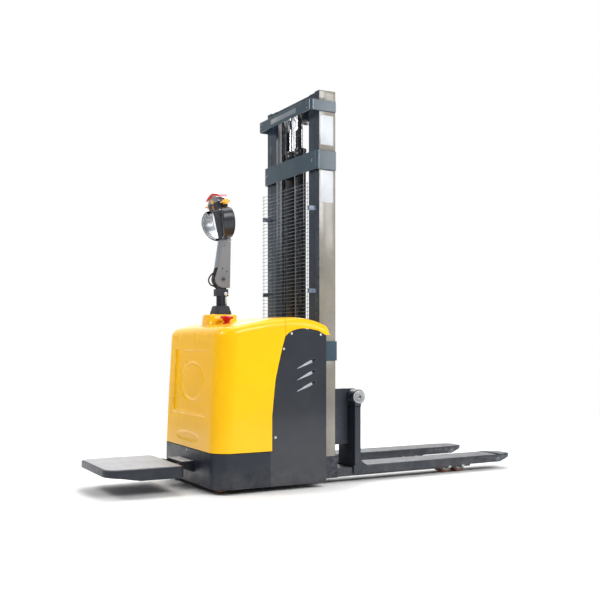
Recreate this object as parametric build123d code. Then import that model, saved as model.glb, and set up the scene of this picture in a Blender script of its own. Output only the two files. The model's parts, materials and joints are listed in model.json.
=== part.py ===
from build123d import *
import os
import math

# Electric walkie stacker with a fold-up operator platform.
# Working datum while modelling: X = 0 at the rear face of the mast rails, +X towards the fork tips,
# Y = 0 on the symmetry plane, Z = 0 on the floor. Every exported solid is shifted by SHIFT_X so that the
# row's origin is the centre of the bounding box on the floor.

# ---- driving dimensions (mm) ----
FORK_TIP_X = 1350.0        # fork tips
PLAT_END_X = -1135.0       # free end of the platform
SHIFT_X = -(FORK_TIP_X + PLAT_END_X) / 2.0

HALF_W = 387.0             # half width over skirt and side panels
SHEET = 4.0                # sheet-metal thickness
SKIRT_X = -627.0           # front face of the skirt (operator side)
SKIRT_Z0, SKIRT_Z1 = 26.0, 203.0
SKIRT_R = 88.0             # vertical corner radius

MAST_TOP = 2095.0
RAIL_OUT = 306.0           # outer face of outer rail web
RAIL_DEPTH = 100.0
RAIL_FLANGE = 50.0
RAIL_WEB = 10.0
RAIL_FT = 14.0
RAIL_Z0 = 147.0
IN_OUT, IN_IN = 254.0, 193.0   # inner rail flange edges
IN_FT = 12.0
IN_WEB0, IN_WEB1 = 218.0, 228.0
IN_Z0, IN_TOP = 160.0, 2090.0

CYL_X, CYL_Y, CYL_R = 26.0, 52.0, 31.0
CYL_TOP = 1833.0
ROD_R = 14.0

SHEAVE_X, SHEAVE_Y, SHEAVE_Z, SHEAVE_PR = 42.0, 95.0, 2005.0, 45.0
CHAIN_T, CHAIN_W = 18.0, 22.0

LIFT = 1450.0              # travel of the inner mast, and again of the carriage on it

SHAFT_X, SHAFT_Z, SHAFT_R = 242.0, 460.0, 30.0
FORK_IN, FORK_OUT = 143.0, 318.0
FORK_TOP = 89.0
FORK_PLATE = 6.0
FORK_WALL = 8.0

LEG_IN, LEG_OUT = 156.0, 305.0
LEG_Z0, LEG_Z1 = 33.0, 79.0
LEG_END = 1018.0
LW_R, LW_W = 40.0, 84.0
LW_X = (870.0, 966.0)

STEER_X = -434.0
DW_R, DW_W = 115.0, 75.0

CASTER_X, CASTER_Y, CASTER_TRAIL, CASTER_R = -530.0, 290.0, 25.0, 60.0

PIV_X, PIV_Z = -431.0, 1093.0      # tiller arm pivot
HEAD_X, HEAD_Z, LEAN = -410.0, 1300.0, 12.0

PLAT_PIV_X, PLAT_PIV_Z = -715.0, 125.0
PLAT_X1, PLAT_HW, PLAT_Z = -735.0, 250.0, 140.0

os.makedirs("parts", exist_ok=True)


# ---- helpers ----
def box(x0, x1, y0, y1, z0, z1):
    return Pos((x0 + x1) / 2, (y0 + y1) / 2, (z0 + z1) / 2) * Box(x1 - x0, y1 - y0, z1 - z0)


def cyl_y(x, z, r, y0, y1):
    return Pos(x, (y0 + y1) / 2, z) * Rot(90, 0, 0) * Cylinder(r, y1 - y0)


def cyl_z(x, y, r, z0, z1):
    return Pos(x, y, (z0 + z1) / 2) * Cylinder(r, z1 - z0)


def cyl_x(y, z, r, x0, x1):
    return Pos((x0 + x1) / 2, y, z) * Rot(0, 90, 0) * Cylinder(r, x1 - x0)


def prism_y(pts, y0, y1):
    f = make_face(Polyline(*[(x, y0, z) for x, z in pts], close=True))
    return extrude(f, amount=y1 - y0, dir=(0, 1, 0))


def prism_z(pts, z0, z1):
    f = make_face(Polyline(*[(x, y, z0) for x, y in pts], close=True))
    return extrude(f, amount=z1 - z0, dir=(0, 0, 1))


def prism_x(pts, x0, x1):
    f = make_face(Polyline(*[(x0, y, z) for y, z in pts], close=True))
    return extrude(f, amount=x1 - x0, dir=(1, 0, 0))


def my(s):
    return mirror(s, about=Plane.XZ)


def flat(shapes):
    out = []
    for s in shapes:
        out += list(s.solids())
    return out


def save(name, *shapes):
    sol = [Pos(SHIFT_X, 0, 0) * s for s in flat(shapes)]
    c = sol[0] if len(sol) == 1 else Compound(children=sol)
    export_step(c, f"parts/{name}.step")


def both(s):
    return [s, my(s)]


def arc_pts(cx, cy, r, a0, a1, n=8):
    return [(cx + r * math.cos(math.radians(a0 + (a1 - a0) * i / n)), cy + r * math.sin(math.radians(a0 + (a1 - a0) * i / n))) for i in range(n + 1)]


def u_outline(x0, x1, hw, r):
    """U-shaped plan outline: open at x1, round corners of radius r at x0."""
    pts = [(x1, -hw)] + [(x, y) for x, y in reversed(arc_pts(x0 + r, -hw + r, r, 180, 270, 10))]
    pts += [(x, y) for x, y in reversed(arc_pts(x0 + r, hw - r, r, 90, 180, 10))] + [(x1, hw)]
    return pts


# ---------------------------------------------------------------- chassis frame
fr = box(-305, -297, -370, 370, 40, 770)                       # bulkhead
fr += box(-297, 0, -370, 370, 40, 52)                          # battery floor
fr += box(0, 115, -RAIL_OUT, RAIL_OUT, 30, RAIL_Z0)            # mast foot beam
fr += box(-618, -305, -370, 370, 295, 307)                     # drive mounting plate
for s in (1, -1):
    y0, y1 = sorted((s * 200, s * 370))
    fr += box(-618, -305, y0, y1, 165, 175)                    # caster plates
    y0, y1 = sorted((s * 200, s * 208))
    fr += box(-618, -305, y0, y1, 175, 295)                    # caster plate hangers
fr -= cyl_z(STEER_X, 0, 58, 290, 310)
fr -= cyl_x(200, 641, 14, -320, -280)
fr &= prism_z([(x, y) for x, y in u_outline(-614, 300, 371, 80)], 20, 800)
save("chassis_frame", fr)

# slewing bearing ring under the drive plate
save("slewing_bearing", cyl_z(STEER_X, 0, 92, 271, 295) - cyl_z(STEER_X, 0, 55.08, 270, 296))

# legs with open wheel bays
leg = box(115, LEG_END, LEG_IN, LEG_IN + 10, LEG_Z0, LEG_Z1)
leg += box(115, LEG_END, LEG_OUT - 10, LEG_OUT, LEG_Z0, LEG_Z1)
leg += box(115, 815, LEG_IN, LEG_OUT, LEG_Z1 - 8, LEG_Z1)
leg += box(LEG_END - 8, LEG_END, LEG_IN, LEG_OUT, LEG_Z0, LEG_Z1)
for x in LW_X:
    leg -= cyl_y(x, LW_R, 10.0, LEG_IN - 1, LEG_OUT + 1)
save("load_legs", *both(leg))
ax = [cyl_y(x, LW_R, 10.0, LEG_IN - 1.5, LEG_OUT + 1.5) for x in LW_X]
save("load_wheel_axles", *ax, *[my(a) for a in ax])
YC = (LEG_IN + LEG_OUT) / 2
for nm, x in (("rear", LW_X[0]), ("front", LW_X[1])):
    w = cyl_y(x, LW_R, LW_R, YC - LW_W / 2, YC + LW_W / 2) - cyl_y(x, LW_R, 10.05, YC - LW_W, YC + LW_W)
    save(f"load_wheel_{nm}_left", w)
    save(f"load_wheel_{nm}_right", my(w))


SK_END = -330.0
sk = prism_z(u_outline(SKIRT_X, SK_END, HALF_W, SKIRT_R), SKIRT_Z0, SKIRT_Z1)
sk -= prism_z(u_outline(SKIRT_X + SHEET, SK_END + 1, HALF_W - SHEET, SKIRT_R - SHEET), SKIRT_Z0 - 1, SKIRT_Z1 + 1)
save("front_skirt", sk)

# side panels with the curved front edge and three slanted louvre slots
EDGE = [(-317, 205), (-317, 382), (-309, 466), (-298, 566), (-279, 650), (-260, 726), (-243, 785), (-226, 801), (-208, 811), (-180, 820), (-150, 825), (-101, 823), (-51, 813), (-3, 791)]
panel = prism_y([(-3, SKIRT_Z0), (SK_END + 0.5, SKIRT_Z0), (SK_END + 0.5, 203.5), (-317, 203.5)] + EDGE, HALF_W - SHEET, HALF_W)
for z in (645, 586.5, 529):
    d = math.atan2(46, 105)
    c, s = math.cos(d), math.sin(d)
    q = [(-119.5 + u * c - v * s, z + u * s + v * c) for u, v in ((-57, -5), (57, -5), (57, 5), (-57, 5))]
    panel -= prism_y(q, HALF_W - 10, HALF_W + 10)
save("side_panel_left", panel)
save("side_panel_right", my(panel))

# hood: front cover and rear lid, thin shells with one outer side profile
HOOD_W = 389.5
TOP = [(-596, 790), (-582, 812), (-556, 829), (-520, 840), (-441, 858), (-340, 876), (-243, 886), (-180, 889), (-122, 884), (-53, 871), (4, 851), (14, 835), (17, 812)]
PROF = [(-628, 206), (-612, 508), (-600, 713)] + TOP + [(17, 206)]


def plan_cut(x0, hw, r):
    return u_outline(x0, 200, hw, r)


outer = prism_y(PROF, -HOOD_W, HOOD_W) & prism_z(plan_cut(-640, HOOD_W, 95), 200, 960)
INN = [(x + (5 if x < -560 else 0), z - 5) for x, z in PROF]
INN[0] = (-623, 200)
INN[-1] = (17, 200)
INN[-2] = (30, 806)
inner = prism_y(INN, -HOOD_W + 5, HOOD_W - 5) & prism_z(plan_cut(-635, HOOD_W - 5, 90), 190, 950)
shell = outer - inner
GAP = 2.5
CUT = [(x - GAP if x < -230 else x, z + GAP) for x, z in EDGE]
side_cut = prism_y([(-317 - GAP, 190)] + [(-317 - GAP, 205)] + CUT[1:] + [(60, 800), (60, 190)], -500, 500)
body_shell = shell - side_cut
lid_seam = -243.0
front = body_shell & box(-700, lid_seam - 1, -500, 500, 200, 1000)
boss = box(-520, -360, -72, 72, 850, 903)
boss = fillet(boss.edges().filter_by(Axis.Z), 30)
front = front + (boss - inner)
front -= cyl_z(STEER_X, 0, 36, 840, 950)
ESX, ESY = -455.0, -130.0
front -= cyl_z(ESX, ESY, 15.4, 820, 880)
save("hood_front", front)
lid = body_shell & box(lid_seam, 40, -500, 500, 700, 1000)
lid -= box(-62, 60, -314, 314, 700, 1000)
lid = lid + (box(-67, -62, -319, 319, 780, 868))
save("hood_top", lid)

# panel and skirt screws
sc = []
for x, z in ((-207, 800), (-36, 795), (-252, 722), (-300, 274)):
    sc.append(cyl_y(x, z, 5.5, HALF_W, HALF_W + 2.0))
sc = sc + [my(a) for a in sc] + [cyl_x(0, 190, 5.5, SKIRT_X - 2.2, SKIRT_X)]
save("panel_screws", *sc)

# emergency stop, pushed straight down
es = cyl_z(ESX, ESY, 15.0, 848, 880) + cyl_z(ESX, ESY, 21.0, 868, 880)
cap = cyl_z(ESX, ESY, 35.0, 880, 894)
cap = fillet(cap.edges().sort_by(Axis.Z)[-1], 6)
save("estop_button", es + cap)

# ---------------------------------------------------------------- outer mast
orail = box(0, RAIL_DEPTH, RAIL_OUT - RAIL_WEB, RAIL_OUT, RAIL_Z0, MAST_TOP)
orail += box(0, RAIL_FT, RAIL_OUT - RAIL_FLANGE, RAIL_OUT - RAIL_WEB, RAIL_Z0, MAST_TOP)
orail += box(RAIL_DEPTH - RAIL_FT, RAIL_DEPTH, RAIL_OUT - RAIL_FLANGE, RAIL_OUT - RAIL_WEB, RAIL_Z0, MAST_TOP)
for x in (14, 77):
    orail -= cyl_y(x, 2066, 7.0, RAIL_OUT - 60, RAIL_OUT + 5) if x > 20 else cyl_y(x + 8, 2066, 7.0, RAIL_OUT - 60, RAIL_OUT + 5)
OR_Z = 1925.0
orail += cyl_y(50, OR_Z, 12.0, 232, RAIL_OUT - RAIL_WEB)
save("outer_rails", *both(orail))
rl = cyl_y(50, OR_Z, 37.6, 232, 252) - cyl_y(50, OR_Z, 12.05, 220, 260)
save("outer_mast_rollers", *both(rl))


# bent wrap-round bands
def band(xr, t, z0, z1, xf, r=22.0):
    o, i = RAIL_OUT + 6.5, RAIL_OUT + 0.2
    out = prism_z(u_outline(xr, xf, o, r), z0, z1)
    inn = prism_z(u_outline(xr + t, xf + 1, i, r - t), z0 - 1, z1 + 1)
    return out - inn


save("upper_band", band(-57, 7, 1984, 2041, 100))
save("middle_band", band(-22, 5, 1674, 1775, 101))
lb = band(-22, 5, 658, 761, 106)
lb += box(-17, 6, 84, 106, 745, 757)
lb += box(-17, 6, -106, -84, 745, 757)
save("lower_band", lb)

# chains: plain bars here. Anchor runs from the lower band up to the sheaves
save("anchor_chains", *both(box(SHEAVE_X - SHEAVE_PR - CHAIN_T / 2, SHEAVE_X - SHEAVE_PR + CHAIN_T / 2, SHEAVE_Y - CHAIN_W / 2, SHEAVE_Y + CHAIN_W / 2, 757.5, SHEAVE_Z - 1)))
half = (cyl_y(SHEAVE_X, SHEAVE_Z, SHEAVE_PR + CHAIN_T / 2, SHEAVE_Y - CHAIN_W / 2, SHEAVE_Y + CHAIN_W / 2) - cyl_y(SHEAVE_X, SHEAVE_Z, SHEAVE_PR - CHAIN_T / 2, SHEAVE_Y - 30, SHEAVE_Y + 30)) & box(-100, 200, 0, 200, SHEAVE_Z, 2200)
run = box(SHEAVE_X + SHEAVE_PR - CHAIN_T / 2, SHEAVE_X + SHEAVE_PR + CHAIN_T / 2, SHEAVE_Y - CHAIN_W / 2, SHEAVE_Y + CHAIN_W / 2, 476, SHEAVE_Z)
save("carriage_chains", *both(half + run))
core = cyl_y(SHEAVE_X, SHEAVE_Z, SHEAVE_PR - CHAIN_T / 2 - 0.5, SHEAVE_Y - 13.5, SHEAVE_Y + 13.5)
core += cyl_y(SHEAVE_X, SHEAVE_Z, 48, SHEAVE_Y - 13.5, SHEAVE_Y - 11.5) + cyl_y(SHEAVE_X, SHEAVE_Z, 48, SHEAVE_Y + 11.5, SHEAVE_Y + 13.5)
core -= cyl_y(SHEAVE_X, SHEAVE_Z, 11.05, 0, 200)
save("chain_sheaves", *both(core))

# cylinders
cy = cyl_z(CYL_X, CYL_Y, CYL_R, RAIL_Z0, CYL_TOP - 43) + cyl_z(CYL_X, CYL_Y, 34, CYL_TOP - 43, CYL_TOP)
cy -= cyl_z(CYL_X, CYL_Y, ROD_R + 0.05, RAIL_Z0 + 20, CYL_TOP + 1)
save("lift_cylinders", *both(cy))
save("cylinder_rods", *both(cyl_z(CYL_X, CYL_Y, ROD_R, RAIL_Z0 + 30, 2064)))

# wire guard on the operator side, with its four clips
ws = []
for i in range(41):
    z = 800 + 20 * i
    ws.append(cyl_y(-49.3, z, 1.3, -278, 278))
for y in (-262, -131, 0, 131, 262):
    ws.append(cyl_z(-46.7, y, 1.3, 792, 1608))
for z in (1030, 1470):
    for s in (1, -1):
        y0, y1 = sorted((s * 264, s * 280))
        ws.append(box(-45.2, 0, y0, y1, z - 11, z + 11))
save("mesh_guard", *ws)

# ---------------------------------------------------------------- inner mast
ir = box(0, RAIL_DEPTH, IN_WEB0, IN_WEB1, IN_Z0, IN_TOP)
ir += box(0, IN_FT, IN_IN, IN_OUT, IN_Z0, IN_TOP) + box(RAIL_DEPTH - IN_FT, RAIL_DEPTH, IN_IN, IN_OUT, IN_Z0, IN_TOP)
IR_Z = 212.0
ir += cyl_y(50, IR_Z, 12.0, IN_WEB1, 292)
save("inner_rails", *both(ir))
r2 = cyl_y(50, IR_Z, 35.6, 262, 292) - cyl_y(50, IR_Z, 12.05, 250, 300)
save("inner_mast_rollers", *both(r2))
tie = box(4, 96, -IN_IN, IN_IN, 2064, IN_TOP)
for s in (1, -1):
    y0, y1 = sorted((s * 111, s * 121))
    tie += box(10, 74, y0, y1, 1980, 2064)
    y0, y1 = sorted((s * 82, s * 121))
    tie += cyl_y(SHEAVE_X, SHEAVE_Z, 11.0, y0, y1)
save("inner_mast_ties", tie, box(60, 74, -IN_IN, IN_IN, 168, 250))

# ---------------------------------------------------------------- carriage and forks
cf = None


def add(a, b):
    return b if a is None else a + b


for s in (1, -1):
    y0, y1 = sorted((s * 235, s * 249))
    p = box(107, 213, y0, y1, 200, 503) + cyl_y(SHAFT_X, SHAFT_Z, 43, y0, y1) + box(205, SHAFT_X, y0, y1, 417, 503)
    p -= cyl_y(SHAFT_X, SHAFT_Z, SHAFT_R + 0.05, y0 - 1, y1 + 1)
    cf = add(cf, p)
    y0, y1 = sorted((s * 165, s * 177))
    cf += box(28, 121, y0, y1, 262, 480)
    for z in (300, 440):
        y0, y1 = sorted((s * 176, s * 216))
        cf += cyl_y(50, z, 12.0, y0, y1)
    y0, y1 = sorted((s * 83, s * 107))
    cf += box(78, 107, y0, y1, 455, 475)
cf += box(107, 121, -249, 249, 450, 503) + box(107, 121, -249, 249, 200, 275)
save("carriage_frame", cf)
for nm, z in (("lower", 300), ("upper", 440)):
    r3 = cyl_y(50, z, 37.6, 196, 216) - cyl_y(50, z, 12.05, 180, 230)
    save(f"carriage_rollers_{nm}", *both(r3))
sh = cyl_y(SHAFT_X, SHAFT_Z, SHAFT_R, -324, 324)
sh -= cyl_y(SHAFT_X, SHAFT_Z, 12, -330, -316) + cyl_y(SHAFT_X, SHAFT_Z, 12, 316, 330)
save("fork_shaft", sh)

# each fork is welded from a shank with two sleeves, a top plate, two side walls and a tip, so it stays open underneath
shank = box(217, 255, FORK_IN, FORK_OUT, FORK_TOP, 412)
for y0, y1 in ((FORK_IN, 232), (252, FORK_OUT)):
    shank += box(217, 255, y0, y1, 412, SHAFT_Z)
    shank += cyl_y(SHAFT_X, SHAFT_Z, 39, y0, y1)
    shank -= cyl_y(SHAFT_X, SHAFT_Z, SHAFT_R + 0.05, y0 - 1, y1 + 1)
shank += prism_y([(217, FORK_TOP - FORK_PLATE), (300, FORK_TOP - FORK_PLATE), (300, FORK_TOP), (255, 128), (217, 128)], FORK_IN, FORK_OUT)
plate = box(300, 1236, FORK_IN, FORK_OUT, FORK_TOP - FORK_PLATE, FORK_TOP)
wall_in = box(210, 1236, FORK_IN, FORK_IN + FORK_WALL, 45, FORK_TOP - FORK_PLATE)
wall_out = box(210, 1236, FORK_OUT - FORK_WALL, FORK_OUT, 45, FORK_TOP - FORK_PLATE)
tipf = prism_y([(1236, 45), (FORK_TIP_X, 70), (FORK_TIP_X, 82), (FORK_TIP_X - 12, FORK_TOP), (1236, FORK_TOP)], FORK_IN, FORK_OUT)
tipc = prism_z([(1236, FORK_IN), (1310, FORK_IN + 22), (1335, FORK_IN + 38), (FORK_TIP_X, FORK_IN + 62), (FORK_TIP_X, FORK_OUT - 62), (1335, FORK_OUT - 38), (1310, FORK_OUT - 22), (1236, FORK_OUT)], 0, 200)
fork = [shank, plate, wall_in, wall_out, tipf & tipc]
save("fork_left", *fork)
save("fork_right", *[my(a) for a in fork])

# ---------------------------------------------------------------- steering and drive unit
gb = cyl_z(STEER_X, 0, 85, 246, 270.5) + cyl_z(STEER_X, 0, 55, 270, 312)
gb += box(STEER_X - 58, STEER_X + 58, 44, 98, 70, 246)
gb += cyl_y(STEER_X, DW_R, 58, 44, 98)
gb += cyl_y(STEER_X, DW_R, 20, -36, 44)
save("drive_gearbox", gb)
save("drive_wheel", cyl_y(STEER_X, DW_R, DW_R, -DW_W / 2, DW_W / 2) - cyl_y(STEER_X, DW_R, 20.05, -50, 50))
mo = cyl_z(STEER_X, 0, 70, 312, 520)
mo += box(STEER_X + 40, STEER_X + 84, -22, 22, 430, 500)
save("drive_motor", mo)
col = cyl_z(STEER_X, 0, 40, 520, 532) + cyl_z(STEER_X, 0, 23.5, 532, 1002)
col += box(-466, -398, -20, 20, 1002, 1040)
col += box(PIV_X - 22, PIV_X + 22, -20, 20, 1038, PIV_Z) + cyl_y(PIV_X, PIV_Z, 22, -20, 20)
col -= cyl_y(PIV_X, PIV_Z, 8.05, -30, 30)
col += cyl_z(-405, 0, 6, 952, 1002) + box(-430, -400, -6, 6, 952, 962)
save("steer_column", col)
bt = Pos(STEER_X, 0, 903.6) * loft([Plane.XY * RectangleRounded(100, 100, 14), Plane.XY.offset(46.4) * RectangleRounded(76, 76, 14)])
bt -= cyl_z(STEER_X, 0, 23.6, 900, 960) + box(-432, -398, -7, 7, 940, 960)
save("tiller_boot", bt)

# ---------------------------------------------------------------- tiller arm and head
ARM = [(-438, 1295), (-387, 1295), (-392, 1047), (PIV_X, 1047)] + [(x, z) for x, z in arc_pts(PIV_X, PIV_Z, 46, 262, 176, 8)] + [(-468, 1128), (-460, 1153)]
arm = prism_y(ARM, -30, 30)
arm -= prism_y([(-433, 1286), (-393, 1286), (-398, 1035), (-490, 1035), (-490, 1152), (-453, 1155)], -22, 22)
arm += cyl_y(PIV_X, PIV_Z, 8.0, -34, 34)
arm += cyl_y(PIV_X, PIV_Z, 13.0, -34, -30) + cyl_y(PIV_X, PIV_Z, 13.0, 30, 34)
save("tiller_arm", arm)

# head plane: local y across, local h up the leaning axis, extruded through the thickness
HP = Plane(origin=(HEAD_X, 0, HEAD_Z), x_dir=(0, 1, 0), z_dir=(math.cos(math.radians(LEAN)), 0, math.sin(math.radians(LEAN))))


def head(pts, t0, t1):
    f = make_face(Polyline(*[(y, h, 0) for y, h in pts], close=True))
    s = extrude(f, amount=t1 - t0, dir=(0, 0, 1))
    return HP.location * (Pos(0, 0, t0) * s)


def symp(half):
    return half + [(-y, h) for y, h in reversed(half)]


ctr = head(symp([(30, 6), (40, 30), (50, 60), (50, 168)]), -18, 18)
pod = head(symp([(84, 166), (86, 190), (85, 215), (60, 226), (30, 236)]), -27, 27)
tc_x = HEAD_X - 200 * math.sin(math.radians(LEAN))
tc_z = HEAD_Z + 200 * math.cos(math.radians(LEAN))
hd = ctr + pod + prism_y([(-437, 1295.3), (-389, 1295.3), (-388, 1330), (-446, 1330)], -28, 28)
hd -= cyl_y(tc_x, tc_z, 4.3, -120, 120)
hd -= head([(-13, 203), (13, 203), (13, 225), (-13, 225)], -40, -17)
hd -= head([(-17, 170), (17, 170), (17, 197), (-17, 197)], -40, -17)
save("tiller_head", hd)
LOOP_O = [(40.8, 8), (70, 14), (104, 32), (132, 62), (147, 98), (148, 128), (138, 152), (120, 168), (98, 174), (86.5, 174)]
LOOP_I = [(86.5, 160), (96, 160), (112, 154), (126, 142), (133, 124), (132, 100), (119, 69), (95, 44), (68, 28), (47, 22)]
lp = head(LOOP_O + LOOP_I + [(46, 22)], -60, 24)
# side outline of the loops, bowed towards the operator: (thickness, height) in the head plane
LOOP_S = [(18, -4), (-20, -4), (-30, 12), (-43, 40), (-51, 75), (-53, 110), (-48, 140), (-36, 168), (-30, 182), (20, 182), (22, 120), (20, 60)]
CL, SL = math.cos(math.radians(LEAN)), math.sin(math.radians(LEAN))
lp &= prism_y([(HEAD_X + a * CL - h * SL, HEAD_Z + a * SL + h * CL) for a, h in LOOP_S], -200, 200)
lp -= head(symp([(30, -10), (40, 30), (50, 60), (50, 190)]), -70, 40)
save("hand_loops", *both(lp))
th = cyl_y(tc_x, tc_z, 4.0, -118, 118)
for s in (1, -1):
    y0, y1 = sorted((s * 88, s * 118))
    kn = cyl_y(tc_x, tc_z, 15, y0, y1)
    kn += head([(y0, 194.5), (y1, 194.5), (y1, 205.5), (y0, 205.5)], -24, 24)
    th += kn
save("thumb_wheels", th)
b_o = [(-100, 230.5), (-84, 240), (-58, 250), (-28, 258), (0, 260.5), (28, 258), (58, 250), (84, 240), (100, 230.5)]
b_i = [(96, 226), (80, 232), (55, 238), (28, 244.5), (0, 246.5), (-28, 244.5), (-55, 238), (-80, 232), (-96, 226)]
save("belly_switch", head(b_o + b_i, -22, 22))
save("horn_button", head([(-12.6, 203.4), (12.6, 203.4), (12.6, 224.6), (-12.6, 224.6)], -31, -21))
RK_X = HEAD_X - 183.5 * math.sin(math.radians(LEAN)) - 24 * math.cos(math.radians(LEAN))
RK_Z = HEAD_Z + 183.5 * math.cos(math.radians(LEAN)) - 24 * math.sin(math.radians(LEAN))
save("lift_rocker", head([(-16, 171.2), (16, 171.2), (16, 195.8), (-16, 195.8)], -30, -21) + cyl_y(RK_X, RK_Z, 2.0, -16.8, 16.8))

# short control cable that the arm and the column hold at both ends
cab_pts = [(-443, 0, 1160), (-460, 0, 1135), (-491, 0, 1116), (-507, 0, 1086), (-493, 0, 1060), (-470, 0, 1056), (-458, 0, 1043.5)]
rad = []
for i in range(1, len(cab_pts) - 1):
    a, b, c = (Vector(*cab_pts[i - 1]), Vector(*cab_pts[i]), Vector(*cab_pts[i + 1]))
    t = (b - a).get_angle(c - b)
    rad.append(0.45 * min((b - a).length, (c - b).length) / math.tan(math.radians(t) / 2))
print("cable bend radii", [round(r, 1) for r in rad])
path = FilletPolyline(*cab_pts, radius=rad)
d0 = Vector(*cab_pts[1]) - Vector(*cab_pts[0])
sec = Plane(origin=cab_pts[0], z_dir=d0) * Circle(4.0)
cable = sweep(sec, path=path)
print("cable volume", round(cable.volume), "section x length", round(math.pi * 16 * path.length))
save("control_cable", cable)

# ---------------------------------------------------------------- casters
for s, nm in ((1, "left"), (-1, "right")):
    cx, cyy = CASTER_X, s * CASTER_Y
    wx = cx - CASTER_TRAIL
    f = cyl_z(cx, cyy, 32, 140, 164.4)
    f += box(wx - 20, cx + 30, cyy - 24, cyy + 24, 128, 142)
    for t in (1, -1):
        y0, y1 = sorted((cyy + t * 18, cyy + t * 24))
        f += prism_y([(wx - 16, 52), (wx + 16, 52), (cx + 26, 140), (wx - 20, 140)], y0, y1)
    f += cyl_y(wx, CASTER_R, 7, cyy - 26, cyy + 26)
    save(f"caster_fork_{nm}", f)
    w = cyl_y(wx, CASTER_R, CASTER_R, cyy - 16, cyy + 16) - cyl_y(wx, CASTER_R, 7.05, cyy - 30, cyy + 30)
    save(f"caster_wheel_{nm}", w)

# ---------------------------------------------------------------- platform
br = box(-697, SKIRT_X, -100, 100, 132, 143)
for s in (1, -1):
    y0, y1 = sorted((s * 84, s * 98))
    br += prism_y([(SKIRT_X, 85), (SKIRT_X, 140), (-700, 136), (-715, 136), (-715, 113), (-700, 112)], y0, y1) + cyl_y(PLAT_PIV_X, PLAT_PIV_Z, 11, y0, y1)
br -= cyl_y(PLAT_PIV_X, PLAT_PIV_Z, 6.0, -120, 120)
save("platform_bracket", br)
save("platform_pin", cyl_y(PLAT_PIV_X, PLAT_PIV_Z, 6.0, -124, 124))


def deck_outline(i):
    x0, x1, hw, r = PLAT_END_X + i, PLAT_X1 - i, PLAT_HW - i, 70 - i
    r2 = 22 - i * 0.6
    pts = [(x, y) for x, y in arc_pts(x0 + r, hw - r, r, 90, 180, 8)] + [(x, y) for x, y in arc_pts(x0 + r, -hw + r, r, 180, 270, 8)]
    pts += [(x, y) for x, y in arc_pts(x1 - r2, -hw + r2, r2, 270, 360, 5)] + [(x, y) for x, y in arc_pts(x1 - r2, hw - r2, r2, 0, 90, 5)]
    return pts


dk = prism_z(deck_outline(0), 80, PLAT_Z) - prism_z(deck_outline(5), 70, PLAT_Z - 5)
dk -= prism_y([(-1300, 0), (-700, 0), (-700, 84), (-960, 84), (-1060, 101), (-1136, 108), (-1300, 108)], -400, 400)
for s in (1, -1):
    y0, y1 = sorted((s * 101, s * 118))
    dk += prism_y([(-738, 113), (-715, 113), (-715, 137), (-738, 137)], y0, y1) + cyl_y(PLAT_PIV_X, PLAT_PIV_Z, 12, y0, y1)
dk -= cyl_y(PLAT_PIV_X, PLAT_PIV_Z, 6.05, -130, 130)
save("platform_deck", dk)
save("platform_mat", prism_z(deck_outline(12), PLAT_Z, PLAT_Z + 3))

# ---------------------------------------------------------------- inside the body
save("battery", box(-282, -32, -320, 320, 54, 620))
pp = box(-600, -330, 170, 350, 309, 430)
pp += cyl_z(-440, 262, 55, 430, 590)
save("hydraulic_power_pack", pp)
save("motor_controller", box(-570, -360, -345, -185, 309, 400))
hose_pts = [(-345, 200, 430.3), (-349, 200, 505), (-351, 200, 580), (-338, 200, 628), (-296, 200, 642), (-215, 192, 648), (-135, 164, 650), (-78, 108, 646), (-42, 58, 641), (-6.9, 52, 640)]
hrad = []
for i in range(1, len(hose_pts) - 1):
    a, b, c = (Vector(*hose_pts[i - 1]), Vector(*hose_pts[i]), Vector(*hose_pts[i + 1]))
    t = (b - a).get_angle(c - b)
    hrad.append(0.45 * min((b - a).length, (c - b).length) / math.tan(math.radians(t) / 2))
print("hose bend radii", [round(r, 1) for r in hrad], "length", sum((Vector(*a) - Vector(*b)).length for a, b in zip(hose_pts, hose_pts[1:])))
hose_path = FilletPolyline(*hose_pts, radius=hrad)
hose = sweep(Plane(origin=hose_pts[0], z_dir=Vector(*hose_pts[1]) - Vector(*hose_pts[0])) * Circle(7), path=hose_path)
print("hose volume", round(hose.volume), "section x length", round(math.pi * 49 * hose_path.length))
save("lift_hose", hose)
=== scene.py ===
import bpy
import bmesh
import math
import json
import numpy as np
from mathutils import Vector, Matrix


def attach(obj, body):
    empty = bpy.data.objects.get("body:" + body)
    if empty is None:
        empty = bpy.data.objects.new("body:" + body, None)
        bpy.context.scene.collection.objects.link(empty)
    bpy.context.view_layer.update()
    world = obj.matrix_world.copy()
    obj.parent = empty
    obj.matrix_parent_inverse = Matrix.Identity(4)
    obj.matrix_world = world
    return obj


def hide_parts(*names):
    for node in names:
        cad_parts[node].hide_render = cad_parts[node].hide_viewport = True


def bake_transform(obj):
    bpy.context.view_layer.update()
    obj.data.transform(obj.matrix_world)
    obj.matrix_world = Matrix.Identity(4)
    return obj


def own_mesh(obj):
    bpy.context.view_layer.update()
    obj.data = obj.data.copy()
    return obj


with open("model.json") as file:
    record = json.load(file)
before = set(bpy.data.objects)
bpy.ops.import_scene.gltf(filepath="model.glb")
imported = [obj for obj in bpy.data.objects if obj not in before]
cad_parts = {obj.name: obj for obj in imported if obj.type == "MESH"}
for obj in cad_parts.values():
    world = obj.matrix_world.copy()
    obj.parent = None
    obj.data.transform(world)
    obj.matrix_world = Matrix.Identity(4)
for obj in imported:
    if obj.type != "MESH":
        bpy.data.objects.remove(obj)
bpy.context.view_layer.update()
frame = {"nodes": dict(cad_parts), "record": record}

rng = np.random.default_rng(11)
REC = frame["record"]
BODY = {n: b for b, ns in REC["behaviour"]["bodies"].items() for n in ns}
SX = -107.5                       # datum (mast rails' rear face) to row frame, mm


def V(x, y, z):
    """Datum millimetres to row-frame metres."""
    return ((x + SX) / 1000.0, y / 1000.0, z / 1000.0)


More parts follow.
